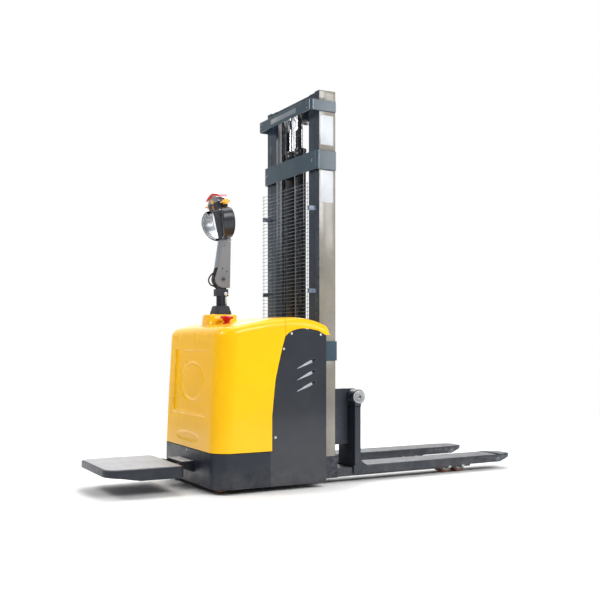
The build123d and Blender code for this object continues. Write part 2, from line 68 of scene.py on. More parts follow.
def mm(pts):
    a = np.array(pts, float).reshape(-1, 3)
    a = a.copy()
    a[:, 0] += SX
    return a / 1000.0


# ------------------------------------------------------------------ materials
def lin(h):
    h = h.lstrip("#")
    out = []
    for i in (0, 2, 4):
        c = int(h[i:i + 2], 16) / 255.0
        out.append(c / 12.92 if c <= 0.04045 else ((c + 0.055) / 1.055) ** 2.4)
    return (*out, 1.0)


class Mat:
    def __init__(self, name):
        self.m = bpy.data.materials.new(name)
        self.m.use_nodes = True
        self.t = self.m.node_tree
        self.t.nodes.clear()
        self.out = self.n("ShaderNodeOutputMaterial")
        self.b = self.n("ShaderNodeBsdfPrincipled")
        self.l(self.b.outputs[0], self.out.inputs[0])
        self.tc = self.n("ShaderNodeTexCoord")

    def n(self, kind, **kw):
        x = self.t.nodes.new(kind)
        for k, v in kw.items():
            setattr(x, k, v)
        return x

    def l(self, a, b):
        self.t.links.new(a, b)

    def noise(self, scale, detail=4.0, rough=0.55, stretch=None, dist=0.0):
        x = self.n("ShaderNodeTexNoise")
        x.inputs["Scale"].default_value = scale
        x.inputs["Detail"].default_value = detail
        x.inputs["Roughness"].default_value = rough
        x.inputs["Distortion"].default_value = dist
        if stretch:
            mp = self.n("ShaderNodeMapping")
            mp.inputs["Scale"].default_value = stretch
            self.l(self.tc.outputs["Object"], mp.inputs[0])
            self.l(mp.outputs[0], x.inputs["Vector"])
        else:
            self.l(self.tc.outputs["Object"], x.inputs["Vector"])
        return x.outputs["Fac"]

    def remap(self, v, a, b, lo, hi):
        x = self.n("ShaderNodeMapRange")
        x.inputs[1].default_value = a
        x.inputs[2].default_value = b
        x.inputs[3].default_value = lo
        x.inputs[4].default_value = hi
        self.l(v, x.inputs[0])
        return x.outputs[0]

    def mix(self, fac, a, b):
        x = self.n("ShaderNodeMix", data_type="RGBA")
        if isinstance(fac, float):
            x.inputs[0].default_value = fac
        else:
            self.l(fac, x.inputs[0])
        for s, v in ((x.inputs[6], a), (x.inputs[7], b)):
            if isinstance(v, tuple):
                s.default_value = v
            else:
                self.l(v, s)
        return x.outputs[2]

    def math(self, op, a, b=0.0, c=None):
        x = self.n("ShaderNodeMath", operation=op)
        for s, v in zip(x.inputs, (a, b, c)):
            if v is None:
                continue
            if isinstance(v, (int, float)):
                s.default_value = v
            else:
                self.l(v, s)
        return x.outputs[0]

    def bump(self, height, strength=0.2, dist=0.001, prev=None):
        x = self.n("ShaderNodeBump")
        x.inputs["Strength"].default_value = strength
        x.inputs["Distance"].default_value = dist
        self.l(height, x.inputs["Height"])
        if prev is not None:
            self.l(prev, x.inputs["Normal"])
        return x.outputs[0]


MATS = {}


def surface(name, a, b, rough=(0.3, 0.45), metal=0.0, coat=0.0, coat_rough=0.08, spec=0.5, big=6.0, fine=180.0,
            grain=0.12, grain_mm=0.25, brushed=None, wear=None, wear_amt=0.35, dust=0.25, sheen=0.0, spots=None, ior=1.45):
    """Paint, metal, rubber or moulded plastic: broad tone drift, fine grain, roughness drift, worn edges and floor dust."""
    M = Mat(name)
    broad = M.noise(big, 5.0, 0.6)
    col = M.mix(M.remap(broad, 0.32, 0.68, 0.0, 1.0), lin(a), lin(b))
    fin = M.noise(fine, 3.0, 0.6, brushed)
    col = M.mix(M.remap(fin, 0.35, 0.75, 0.0, 0.10), col, tuple([c * 0.6 for c in lin(b)[:3]] + [1.0]))
    if spots:
        sp = M.noise(spots[0], 2.0, 0.5)
        col = M.mix(M.remap(sp, 0.62, 0.66, 0.0, spots[1]), col, lin(spots[2]))
    if wear:
        g = M.n("ShaderNodeNewGeometry")
        pt = M.remap(g.outputs["Pointiness"], 0.56, 0.66, 0.0, 1.0)
        br = M.remap(M.noise(42.0, 5.0, 0.7), 0.44, 0.60, 0.0, wear_amt)
        col = M.mix(M.math("MULTIPLY", pt, br), col, lin(wear))
    if dust > 0:
        sep = M.n("ShaderNodeSeparateXYZ")
        M.l(M.tc.outputs["Object"], sep.inputs[0])
        low = M.remap(sep.outputs[2], 0.01, 0.16, dust * 0.45, 0.0)
        dn = M.remap(M.noise(14.0, 6.0, 0.65), 0.40, 0.72, 0.0, 1.0)
        col = M.mix(M.math("MULTIPLY", low, dn), col, lin("#9A938A"))
    M.l(col, M.b.inputs["Base Color"])
    rn = M.noise(big * 3.1, 4.0, 0.6)
    M.l(M.remap(rn, 0.3, 0.7, rough[0], rough[1]), M.b.inputs["Roughness"])
    h = M.math("ADD", fin, M.math("MULTIPLY", rn, 0.6))
    M.l(M.bump(h, grain, grain_mm / 1000.0), M.b.inputs["Normal"])
    M.b.inputs["Metallic"].default_value = metal
    M.b.inputs["Coat Weight"].default_value = coat
    M.b.inputs["Coat Roughness"].default_value = coat_rough
    M.b.inputs["Specular IOR Level"].default_value = spec
    M.b.inputs["IOR"].default_value = ior
    if sheen:
        M.b.inputs["Sheen Weight"].default_value = sheen
        M.b.inputs["Sheen Roughness"].default_value = 0.5
    MATS[name] = M.m
    return M.m


surface("hood_yellow", "#FFC400", "#FDBC00", (0.26, 0.33), spec=0.3, coat=0.22, coat_rough=0.08, big=2.2, fine=420.0, grain=0.02, grain_mm=0.06, wear="#E3B21A", wear_amt=0.20, dust=0.18)
surface("chassis_grey", "#1C222C", "#222934", (0.36, 0.50), spec=0.35, coat=0.15, coat_rough=0.2, fine=520.0, grain=0.16, grain_mm=0.2, wear="#7C838C", wear_amt=0.35, dust=0.40)
surface("panel_grey", "#20242C", "#292D35", (0.30, 0.40), spec=0.4, coat=0.5, coat_rough=0.12, fine=520.0, grain=0.12, grain_mm=0.18, wear="#858A92", wear_amt=0.30, dust=0.30)
surface("mast_slate", "#1A2837", "#233141", (0.26, 0.38), coat=0.6, coat_rough=0.12, fine=420.0, grain=0.10, grain_mm=0.18, brushed=(1.0, 1.0, 0.08), wear="#8FA0A8", wear_amt=0.30, dust=0.25)
surface("band_slate", "#2C404D", "#374C59", (0.30, 0.42), coat=0.5, coat_rough=0.14, fine=460.0, grain=0.12, grain_mm=0.2, wear="#96A8B2", wear_amt=0.35, dust=0.1)
surface("fork_black", "#20252E", "#292F39", (0.38, 0.55), coat=0.2, coat_rough=0.25, fine=380.0, grain=0.22, grain_mm=0.3, wear="#8B9097", wear_amt=0.65, dust=0.45)
surface("cylinder_black", "#17181B", "#202124", (0.18, 0.28), coat=0.7, coat_rough=0.08, fine=420.0, grain=0.05, grain_mm=0.12, wear="#5A5A5C", dust=0.1)
surface("chrome", "#C9CBCE", "#DADCDE", (0.10, 0.18), metal=1.0, fine=600.0, grain=0.04, grain_mm=0.1, brushed=(1.0, 1.0, 0.05), dust=0.0)
surface("steel", "#A7A9AC", "#C2C3C5", (0.24, 0.40), metal=1.0, fine=420.0, grain=0.12, grain_mm=0.2, wear="#E4E4E4", dust=0.15, spots=(90.0, 0.35, "#6E675E"))
surface("chain_steel", "#2B2C30", "#3A3B40", (0.28, 0.46), metal=0.7, fine=260.0, grain=0.2, grain_mm=0.2, wear="#A9A9AA", wear_amt=0.7, dust=0.0, spots=(70.0, 0.3, "#1C1A18"))
surface("wire_steel", "#4C5C6E", "#5D6D80", (0.28, 0.42), metal=0.25, coat=0.3, fine=300.0, grain=0.1, grain_mm=0.15, wear="#A9B4C0", dust=0.0)
surface("arm_grey", "#6F7074", "#7B7C80", (0.30, 0.42), coat=0.35, coat_rough=0.16, fine=520.0, grain=0.12, grain_mm=0.15, wear="#C3C4C8", wear_amt=0.35, dust=0.0)
surface("head_silver", "#7A828C", "#8F969F", (0.28, 0.38), metal=0.35, coat=0.4, coat_rough=0.15, fine=620.0, grain=0.10, grain_mm=0.12, wear="#D2D6DA", dust=0.0)
surface("loop_black", "#10141E", "#191E2A", (0.30, 0.44), coat=0.25, coat_rough=0.2, fine=640.0, grain=0.24, grain_mm=0.2, wear="#545A66", wear_amt=0.25, dust=0.0)
surface("boot_rubber", "#1E1E26", "#282832", (0.50, 0.66), spec=0.4, fine=380.0, grain=0.25, grain_mm=0.25, wear="#5E5E66", wear_amt=0.3, dust=0.0, sheen=0.15)
surface("button_red", "#C8040E", "#D40A16", (0.24, 0.32), spec=0.35, coat=0.25, coat_rough=0.08, fine=420.0, grain=0.06, grain_mm=0.12, wear="#F05A5F", wear_amt=0.25, dust=0.0)
surface("button_yellow", "#F2A40A", "#FFBC24", (0.28, 0.38), coat=0.4, coat_rough=0.1, fine=420.0, grain=0.08, grain_mm=0.12, wear="#FFD676", wear_amt=0.25, dust=0.0)
surface("button_brown", "#7C4A24", "#925A2E", (0.30, 0.42), coat=0.4, coat_rough=0.12, fine=420.0, grain=0.08, grain_mm=0.12, wear="#B98252", wear_amt=0.25, dust=0.0)
surface("pu_tread", "#7A4A30", "#8E5A3C", (0.34, 0.50), coat=0.2, coat_rough=0.25, fine=240.0, grain=0.2, grain_mm=0.3, wear="#B78C6C", wear_amt=0.4, dust=0.5, spots=(60.0, 0.35, "#4A3224"))
surface("drive_tread", "#2A2A2C", "#363638", (0.55, 0.72), spec=0.35, fine=220.0, grain=0.3, grain_mm=0.4, wear="#5C5C5E", wear_amt=0.4, dust=0.5)
surface("bracket_grey", "#B4B6B9", "#C6C8CB", (0.32, 0.45), coat=0.2, coat_rough=0.2, fine=420.0, grain=0.12, grain_mm=0.2, wear="#E6E8EA", wear_amt=0.4, dust=0.35)
surface("battery_case", "#24262B", "#2F3137", (0.45, 0.6), fine=300.0, grain=0.25, grain_mm=0.3, dust=0.3)
surface("motor_black", "#1D1F22", "#292B2F", (0.38, 0.52), fine=300.0, grain=0.22, grain_mm=0.3, dust=0.25)
surface("gear_iron", "#3B3D40", "#4A4C50", (0.42, 0.58), metal=0.5, fine=160.0, grain=0.35, grain_mm=0.5, dust=0.4)
surface("controller_alu", "#9A9CA0", "#ADAFB3", (0.32, 0.45), metal=0.9, fine=420.0, grain=0.15, grain_mm=0.2, brushed=(0.1, 1.0, 1.0), dust=0.2)
surface("hose_rubber", "#17181B", "#222327", (0.42, 0.58), spec=0.4, fine=520.0, grain=0.2, grain_mm=0.15, dust=0.0)
surface("loop_silver", "#A9AEB6", "#BCC1C8", (0.24, 0.34), metal=0.25, coat=0.45, coat_rough=0.12, fine=620.0, grain=0.08, grain_mm=0.1, wear="#E2E5E8", dust=0.0)
surface("label_white", "#BFC3C8", "#CBCFD3", (0.34, 0.46), coat=0.2, fine=520.0, grain=0.06, grain_mm=0.08, wear="#B9BDC2", dust=0.0)
# light grey for the louvre scoops' raised lips: painted highlight
surface("louvre_lip_painted_highlight", "#8A9098", "#A4AAB1", (0.26, 0.36), coat=0.4, fine=420.0, grain=0.1, grain_mm=0.12, wear="#C9CED4", dust=0.0)
surface("screw_zinc", "#D4D6D8", "#E8E9EA", (0.22, 0.34), metal=0.55, fine=520.0, grain=0.08, grain_mm=0.1, wear="#F6F6F6", dust=0.05)
# light beige-grey for the rail webs: painted reflection standing in for the studio seen in the glossy slate lacquer
surface("mast_web_painted_reflection", "#77736A", "#8C867A", (0.28, 0.36), coat=0.75, coat_rough=0.16, fine=420.0, grain=0.10, grain_mm=0.18, brushed=(1.0, 1.0, 0.05), wear="#A7AEB2", wear_amt=0.3, dust=0.25)
# near-black: painted shade in the louvre throats, behind the louvres and in the screw sockets; also the wheel bearings'
# black seals
surface("painted_shade_and_seal_black", "#0B0C0E", "#131417", (0.6, 0.75), spec=0.3, fine=300.0, grain=0.2, grain_mm=0.2, dust=0.0)


def mat_grip(name, a, b):
    """Platform mat: moulded rubber with fine raised pips."""
    M = Mat(name)
    col = M.mix(M.remap(M.noise(9.0, 5.0, 0.6), 0.35, 0.65, 0.0, 1.0), lin(a), lin(b))
    v = M.n("ShaderNodeTexVoronoi")
    v.inputs["Scale"].default_value = 145.0
    v.inputs["Randomness"].default_value = 0.0
    mp = M.n("ShaderNodeMapping")
    mp.inputs["Scale"].default_value = (1.0, 1.0, 0.0)
    M.l(M.tc.outputs["Object"], mp.inputs[0])
    M.l(mp.outputs[0], v.inputs["Vector"])
    pip = M.remap(v.outputs["Distance"], 0.22, 0.42, 1.0, 0.0)
    col = M.mix(M.remap(pip, 0.0, 1.0, 0.0, 0.18), col, lin("#8E9094"))
    scuff = M.remap(M.noise(24.0, 7.0, 0.7), 0.56, 0.70, 0.0, 0.35)
    col = M.mix(scuff, col, lin("#93918C"))
    M.l(col, M.b.inputs["Base Color"])
    M.l(M.remap(M.noise(30.0, 4.0), 0.3, 0.7, 0.46, 0.62), M.b.inputs["Roughness"])
    M.l(M.bump(pip, 0.35, 0.0008), M.b.inputs["Normal"])
    MATS[name] = M.m


mat_grip("mat_grey", "#93959A", "#A0A2A6")


# ------------------------------------------------------------------ mesh helpers
def link(o):
    bpy.context.scene.collection.objects.link(o)
    return o


def finish_piece(o, body, slot=None, mat=None, nodes=()):
    name = mat or slot
    if mat is not False and not o.data.materials:
        o.data.materials.append(MATS[name])
    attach(o, body)
    if nodes:
        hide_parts(*nodes)
    return o


def smooth(me, angle=32.0):
    """Smooth shading with sharp edges kept above the angle."""
    bm = bmesh.new()
    bm.from_mesh(me)
    lim = math.radians(angle)
    for f in bm.faces:
        f.smooth = True
    for e in bm.edges:
        if len(e.link_faces) == 2:
            e.smooth = e.calc_face_angle(0.0) < lim
        else:
            e.smooth = True
    bm.to_mesh(me)
    bm.free()


def bevel(o, width, seg=2, angle=35.0, hard=True):
    b = o.modifiers.new("bevel", "BEVEL")
    b.width = width
    b.segments = seg
    b.limit_method = "ANGLE"
    b.angle_limit = math.radians(angle)
    b.miter_outer = "MITER_ARC" if seg > 2 else "MITER_SHARP"
    b.use_clamp_overlap = True
    b.harden_normals = hard
    return o


def from_bm(name, bm):
    me = bpy.data.meshes.new(name)
    bm.to_mesh(me)
    bm.free()
    return link(bpy.data.objects.new(name, me))


def from_py(name, verts, faces, ang=32.0):
    me = bpy.data.meshes.new(name)
    me.from_pydata([tuple(v) for v in verts], [], [tuple(f) for f in faces])
    me.update()
    bm = bmesh.new()
    bm.from_mesh(me)
    bmesh.ops.remove_doubles(bm, verts=bm.verts, dist=1e-6)
    bmesh.ops.dissolve_degenerate(bm, dist=1e-7, edges=bm.edges)
    bmesh.ops.recalc_face_normals(bm, faces=bm.faces)
    bm.to_mesh(me)
    bm.free()
    smooth(me, ang)
    return link(bpy.data.objects.new(name, me))


def dress(node, slot=None, mat=None, width=0.0012, seg=2, ang=35.0, dissolve=True, smooth_ang=32.0):
    """A clean copy of a CAD part with merged facets and rounded edges, riding the part's own body."""
    src = frame["nodes"][node]
    me = src.data.copy()
    me.materials.clear()
    bm = bmesh.new()
    bm.from_mesh(me)
    bmesh.ops.remove_doubles(bm, verts=bm.verts, dist=2e-6)
    bmesh.ops.dissolve_degenerate(bm, dist=1e-6, edges=bm.edges)
    if dissolve:
        bmesh.ops.dissolve_limit(bm, angle_limit=math.radians(0.6), verts=bm.verts, edges=bm.edges)
    for f in bm.faces:
        f.smooth = True
    lim = math.radians(smooth_ang)
    for e in bm.edges:
        e.smooth = not (len(e.link_faces) == 2 and e.calc_face_angle(0.0) >= lim)
    bm.to_mesh(me)
    bm.free()
    o = link(bpy.data.objects.new("v_" + node, me))
    if width:
        bevel(o, width, seg, ang)
    return finish_piece(o, BODY[node], slot, mat, (node,))


def grid(name, rows, closed=False, ang=32.0, flip=False):
    """Quads between rows of points; closed joins each row's end to its start."""
    R = np.array(rows, float)
    n, m = R.shape[:2]
    f = []
    for i in range(n - 1):
        for j in range(m if closed else m - 1):
            k = (j + 1) % m
            q = (i * m + j, i * m + k, (i + 1) * m + k, (i + 1) * m + j)
            f.append(q[::-1] if flip else q)
    return from_py(name, R.reshape(-1, 3), f, ang)


AX = {"x": (Vector((0, 1, 0)), Vector((0, 0, 1)), Vector((1, 0, 0))),
      "y": (Vector((1, 0, 0)), Vector((0, 0, 1)), Vector((0, 1, 0))),
      "z": (Vector((1, 0, 0)), Vector((0, 1, 0)), Vector((0, 0, 1)))}


def lathe_mesh(prof, centre, axis, n=56):
    """Rings for a closed or open (radius, height) profile about an axis. Metres."""
    u, v, w = AX[axis]
    c = Vector(centre)
    verts, faces = [], []
    m = len(prof)
    for i in range(n):
        t = 2 * math.pi * i / n
        d = u * math.cos(t) + v * math.sin(t)
        for r, h in prof:
            verts.append(tuple(c + d * r + w * h))
    for i in range(n):
        k = (i + 1) % n
        for j in range(m - 1):
            faces.append((i * m + j, i * m + j + 1, k * m + j + 1, k * m + j))
    return verts, faces


def multi(name, parts, ang=32.0):
    vs, fs = [], []
    for v, f in parts:
        o = len(vs)
        vs += [tuple(p) for p in v]
        fs += [tuple(i + o for i in q) for q in f]
    return from_py(name, vs, fs, ang)


def boxmesh(x0, x1, y0, y1, z0, z1, chamfer=0.0):
    """A small chamfered block in metres, as (verts, faces)."""
    bm = bmesh.new()
    bmesh.ops.create_cube(bm, size=1.0)
    for v in bm.verts:
        v.co = Vector(((x0 + x1) / 2 + v.co.x * (x1 - x0), (y0 + y1) / 2 + v.co.y * (y1 - y0), (z0 + z1) / 2 + v.co.z * (z1 - z0)))
    if chamfer:
        bmesh.ops.bevel(bm, geom=bm.edges[:], offset=chamfer, segments=2, profile=0.5, affect="EDGES")
    bm.verts.index_update()
    out = ([tuple(v.co) for v in bm.verts], [tuple(v.index for v in f.verts) for f in bm.faces])
    bm.free()
    return out


def rounded(prof, r, k=4):
    """Rounds the corners of an open (radius, height) profile."""
    P = [np.array(p, float) for p in prof]
    out = [P[0]]
    for a, b, c in zip(P[:-2], P[1:-1], P[2:]):
        la, lc = np.linalg.norm(a - b), np.linalg.norm(c - b)
        if la < 1e-9 or lc < 1e-9:
            continue
        q = min(r, la * 0.45, lc * 0.45)
        p0, p1 = b + (a - b) / la * q, b + (c - b) / lc * q
        for i in range(k + 1):
            t = i / k
            out.append((1 - t) ** 2 * p0 + 2 * t * (1 - t) * b + t * t * p1)
    out.append(P[-1])
    return [tuple(p) for p in out]


# ------------------------------------------------------------------ hood
HW = 389.5
EDGE = [(-317, 205), (-317, 382), (-309, 466), (-298, 566), (-279, 650), (-260, 726), (-243, 785), (-226, 801), (-208, 811), (-180, 820), (-150, 825), (-101, 823), (-51, 813), (-3, 791)]
TOPC = [(-640, 818), (-596, 826), (-556, 833), (-520, 841), (-441, 858), (-340, 876), (-243, 886), (-180, 889), (-122, 885), (-53, 872), (4, 852), (40, 834)]
_x = np.arange(-660, 60, 1.0)
_h = np.interp(_x, [p[0] for p in TOPC], [p[1] for p in TOPC])
_k = np.exp(-0.5 * (np.arange(-40, 41) / 13.0) ** 2)
_h = np.convolve(np.pad(_h, 40, mode="edge"), _k / _k.sum(), mode="valid")


def topz(x, y):
    return np.interp(x, _x, _h) - 5.0 * (abs(y) / HW) ** 2.2


def edge_x(z):
    """X of the side panel's curved edge at height z, up to the seam."""
    zs = [p[1] for p in EDGE[:8]]
    return np.interp(z, zs, [p[0] for p in EDGE[:8]])


def front_x(z):
    return np.interp(z, [206, 508, 713, 800, 860], [-628, -612, -600, -595.5, -594])


def sstep(a, b, v):
    t = np.clip((v - a) / (b - a), 0.0, 1.0)
    return t * t * (3 - 2 * t)


RS = 44.0       # shoulder radius
RC = 95.0       # plan corner radius
SEAM = -243.8


def recess(y, z):
    """How far the front face is set back at (y, z), mm."""
    ay, az = 228.0, 163.5
    zc = 551.5
    dx = ay - abs(y)
    dt, db = (zc + az) - z, z - (zc - az)
    d = 9.0 * sstep(-1.5, 4.5, dx) * sstep(-1.5, 3.5, dt) * sstep(-2.0, 9.0, db)
    r = math.hypot(y / 170.0, (z - 547.0) / 105.0)
    e = (1 - r) * 125.0
    d += 5.0 * sstep(-2.5, 3.5, e) - 2.6 * sstep(9.0, 26.0, e)
    lip = math.exp(-((z - (zc - az - 5.0)) / 4.0) ** 2) * sstep(-4, 8, dx)
    d -= 1.8 * lip
    ga = math.hypot(y / 150.0, (z - 262.0) / 26.0)
    d += 2.2 * sstep(1.15, 0.85, ga) * sstep(236, 250, z)
    return d


def hood_front():
    ns, nc = 22, 14
    ycol = list(np.linspace(-294.5, 294.5, 172))
    rows = []
    nv = 150
    for iv in range(nv + 1):
        v = iv / nv
        row = []
        for side in (-1, 1):
            seg = []
            for i in range(ns + 1):
                u = i / ns
                z = 500.0
                x = -420.0
                for _ in range(4):
                    zt = float(topz(x, HW)) - RS
                    z = 206 + v * (zt - 206)
                    xe = min(float(edge_x(z)) - 2.6, SEAM)
                    xc = float(front_x(z)) + RC
                    x = xe + u * (xc - xe)
                seg.append((x, side * HW, z))
            for i in range(1, nc):
                t = math.radians(90.0 * i / nc)
                z = seg[ns][2]
                zt2 = float(topz(front_x(800.0), 294.5)) - RS
                zt1 = float(topz(-500.0, HW)) - RS
                zt = zt1 + (zt2 - zt1) * i / nc
                z = 206 + v * (zt - 206)
                xc = float(front_x(z)) + RC
                seg.append((xc - RC * math.sin(t), side * (HW - RC + RC * math.cos(t)), z))
            if side == -1:
                row += seg
            else:
                tail = seg[::-1]
        for y in ycol:
            zt = float(topz(front_x(800.0), y)) - RS
            z = 206 + v * (zt - 206)
            row.append((float(front_x(z)) + recess(y, z), y, z))
        row += tail
        rows.append(row)
    base = np.array(rows[-1])
    # shoulder rings, inset from the plan outline
    m = len(base)
    nrm = np.zeros((m, 2))
    for j in range(m):
        x, y = base[j, 0], base[j, 1]
        xc = float(front_x(base[j, 2])) + RC
        if x >= xc - 1e-6:
            nrm[j] = (0, -np.sign(y))
        elif abs(y) <= HW - RC + 1e-6:
            nrm[j] = (1, 0)
        else:
            d = np.array([xc - x, np.sign(y) * (HW - RC) - y])
            nrm[j] = d / np.linalg.norm(d)
    for k in range(1, 11):
        a = math.radians(90.0 * k / 10)
        d = RS * (1 - math.cos(a))
        row = []
        for j in range(m):
            x, y = base[j, 0] + nrm[j, 0] * d, base[j, 1] + nrm[j, 1] * d
            z = float(topz(x, y)) - RS + RS * math.sin(a)
            row.append((x, y, z))
        rows.append(row)
    ring = rows[-1]
    # the last ring is closed along the seam, then drawn in to the hole round the steering column
    j0, j1 = ring[0], ring[-1]
    nseam = 60
    loop = list(ring) + [(j1[0], j1[1] + (j0[1] - j1[1]) * i / nseam, 0) for i in range(1, nseam)]
    L = len(loop)
    cap = []
    for k in range(0, 19):
        t = (k / 18.0) ** 0.9
        row = []
        for (x, y, z) in loop:
            ang = math.atan2(y, x + 434.0)
            hx, hy = -434.0 + 36.5 * math.cos(ang), 36.5 * math.sin(ang)
            X, Y = x + (hx - x) * t, y + (hy - y) * t
            row.append((X, Y, float(topz(X, Y))))
        cap.append(row)
    verts, faces = [], []
    R = np.array(rows)
    n = R.shape[0]
    verts += [tuple(p) for p in R.reshape(-1, 3)]
    for i in range(n - 1):
        for j in range(m - 1):
            faces.append((i * m + j, i * m + j + 1, (i + 1) * m + j + 1, (i + 1) * m + j))
    off = len(verts)
    C = np.array(cap)
    verts += [tuple(p) for p in C.reshape(-1, 3)]
    for i in range(C.shape[0] - 1):
        for j in range(L):
            k = (j + 1) % L
            faces.append((off + i * L + j, off + i * L + k, off + (i + 1) * L + k, off + (i + 1) * L + j))
    V2 = mm(verts)
    me = bpy.data.meshes.new("hood_front_shell")
    me.from_pydata([tuple(p) for p in V2], [], faces)
    bm = bmesh.new()
    bm.from_mesh(me)
    bmesh.ops.remove_doubles(bm, verts=bm.verts, dist=2e-5)
    # the emergency stop's hole
    ex, ey, _ = V(-455, -130, 0)
    kill = [f for f in bm.faces if (f.calc_center_median().xy - Vector((ex, ey))).length < 0.0165 and f.calc_center_median().z > 0.8]
    bmesh.ops.delete(bm, geom=kill, context="FACES")
    bmesh.ops.recalc_face_normals(bm, faces=bm.faces)
    up = sum(f.normal.z for f in bm.faces if f.calc_center_median().z > 0.84)
    if up < 0:
        bmesh.ops.reverse_faces(bm, faces=bm.faces[:])
    for f in bm.faces:
        f.smooth = True
    bm.to_mesh(me)
    bm.free()
    o = link(bpy.data.objects.new("hood_front_shell", me))
    s = o.modifiers.new("thick", "SOLIDIFY")
    s.thickness = 0.004
    s.offset = -1.0
    s.use_even_offset = True
    bevel(o, 0.0011, 2, 55.0)
    finish_piece(o, "chassis", "hood_yellow", None, ("hood_front",))
    return o


def hood_lid():
    xs = sorted(set(list(np.linspace(-242.6, -62, 34)) + list(np.linspace(-62, 17, 17))))
    side_n = 9
    rows = []
    for x in xs:
        zb = float(np.interp(x, [p[0] for p in EDGE[6:]] + [20], [p[1] + 2.6 for p in EDGE[6:]] + [794.5]))
        drop = 0.0
        if x > -3:
            drop = 16.0 - math.sqrt(max(0.0, 16.0 ** 2 - max(0.0, (x - 1.0)) ** 2)) if x > 1 else 0.0
        row = []
        half = []
        zt = float(topz(x, HW)) - RS - drop
        zt = max(zt, zb + 1.0)
        for i in range(side_n + 1):
            half.append((HW, zb + (zt - zb) * i / side_n))
        for k in range(1, 11):
            a = math.radians(90.0 * k / 10)
            y = HW - RS * (1 - math.cos(a))
            zz = float(topz(x, y)) - drop - RS + RS * math.sin(a)
            half.append((y, max(zz, zb + 1.0)))
        for y in list(np.linspace(HW - RS, 314, 7)[1:]) + list(np.linspace(314, 0, 30)[1:]):
            half.append((y, float(topz(x, y)) - drop))
        row = [(x, y, z) for y, z in half] + [(x, -y, z) for y, z in half[::-1][1:]]
        rows.append(row)
    R = np.array(rows)
    n, m = R.shape[:2]
    faces = []
    for i in range(n - 1):
        for j in range(m - 1):
            xm = (R[i, j, 0] + R[i + 1, j, 0]) / 2
            ym = (R[i, j, 1] + R[i, j + 1, 1]) / 2
            if xm > -62 and abs(ym) < 314:
                continue
            faces.append((i * m + j, i * m + j + 1, (i + 1) * m + j + 1, (i + 1) * m + j))
    me = bpy.data.meshes.new("hood_lid_shell")
    me.from_pydata([tuple(p) for p in mm(R.reshape(-1, 3))], [], faces)
    bm = bmesh.new()
    bm.from_mesh(me)
    bmesh.ops.delete(bm, geom=[v for v in bm.verts if not v.link_faces], context="VERTS")
    bmesh.ops.remove_doubles(bm, verts=bm.verts, dist=2e-5)
    bmesh.ops.recalc_face_normals(bm, faces=bm.faces)
    if sum(f.normal.z for f in bm.faces) < 0:
        bmesh.ops.reverse_faces(bm, faces=bm.faces[:])
    # turned-down lips at the rear end and round the mast opening
    rim = [e for e in bm.edges if e.is_boundary and ((min(v.co.x for v in e.verts) > (-62.5 + SX) / 1000 and max(abs(v.co.y) for v in e.verts) < 0.3142) or min(v.co.x for v in e.verts) > (16.9 + SX) / 1000)]
    ext = bmesh.ops.extrude_edge_only(bm, edges=rim)
    nv = [g for g in ext["geom"] if isinstance(g, bmesh.types.BMVert)]
    for v in nv:
        v.co.z = max(v.co.z - 0.022, 0.7965)
    bmesh.ops.remove_doubles(bm, verts=bm.verts, dist=2e-5)
    bmesh.ops.dissolve_degenerate(bm, dist=1e-5, edges=bm.edges)
    bmesh.ops.recalc_face_normals(bm, faces=bm.faces)
    if sum(f.normal.z for f in bm.faces) < 0:
        bmesh.ops.reverse_faces(bm, faces=bm.faces[:])
    for f in bm.faces:
        f.smooth = True
    for e in bm.edges:
        if len(e.link_faces) == 2 and e.calc_face_angle(0.0) > math.radians(38):
            e.smooth = False
    bm.to_mesh(me)
    bm.free()
    o = link(bpy.data.objects.new("hood_lid_shell", me))
    s = o.modifiers.new("thick", "SOLIDIFY")
    s.thickness = 0.004
    s.offset = -1.0
    bevel(o, 0.0011, 2, 50.0)
    return finish_piece(o, "chassis", "hood_yellow", None, ("hood_top",))


hood_front()
hood_lid()


def boss():
    """The raised square collar moulded round the tiller, flaring into the hood."""
    rows = []
    prof = [(30, 846, 1.32), (12, 858, 1.16), (4, 866, 1.05), (0, 878, 1.0), (-1.5, 896, 1.0), (-4, 901.2, 1.0), (-8, 903, 0.98), (-22, 903.2, 0.95), (-38, 903.2, 0.95)]
    for inset, z, f in prof:
        r = []
        for i in range(72):
            t = 2 * math.pi * i / 72
            c, s = math.cos(t), math.sin(t)
            p = 2.0 / 5.5
            hx = 80.0 + inset
            hy = 72.0 + inset
            x = -440 + hx * math.copysign(abs(c) ** p, c)
            y = hy * math.copysign(abs(s) ** p, s)
            zz = z
            if inset >= 12:
                zz = float(topz(x, y)) - 1.2
            elif inset > 2:
                zz = float(topz(x, y)) + 3.2
            r.append((x, y, zz))
        rows.append(r)
    ring = []
    for i in range(72):
        t = 2 * math.pi * i / 72
        ring.append((-434 + 36.2 * math.cos(t), 36.2 * math.sin(t), 903.0))
    rows.append(ring)
    ring2 = [(x, y, 880.0) for x, y, z in ring]
    rows.append(ring2)
    o = grid("hood_boss", mm(np.array(rows).reshape(-1, 3)).reshape(len(rows), 72, 3), closed=True, ang=50)
    finish_piece(o, "chassis", "hood_yellow")


boss()


# ------------------------------------------------------------------ panels, skirt, louvres, screws
for n in ("side_panel_left", "side_panel_right"):
    dress(n, "panel_grey", width=0.0009, seg=2)
dress("front_skirt", "chassis_grey", width=0.0012, seg=2)
dress("chassis_frame", "chassis_grey", width=0.0012, seg=1)


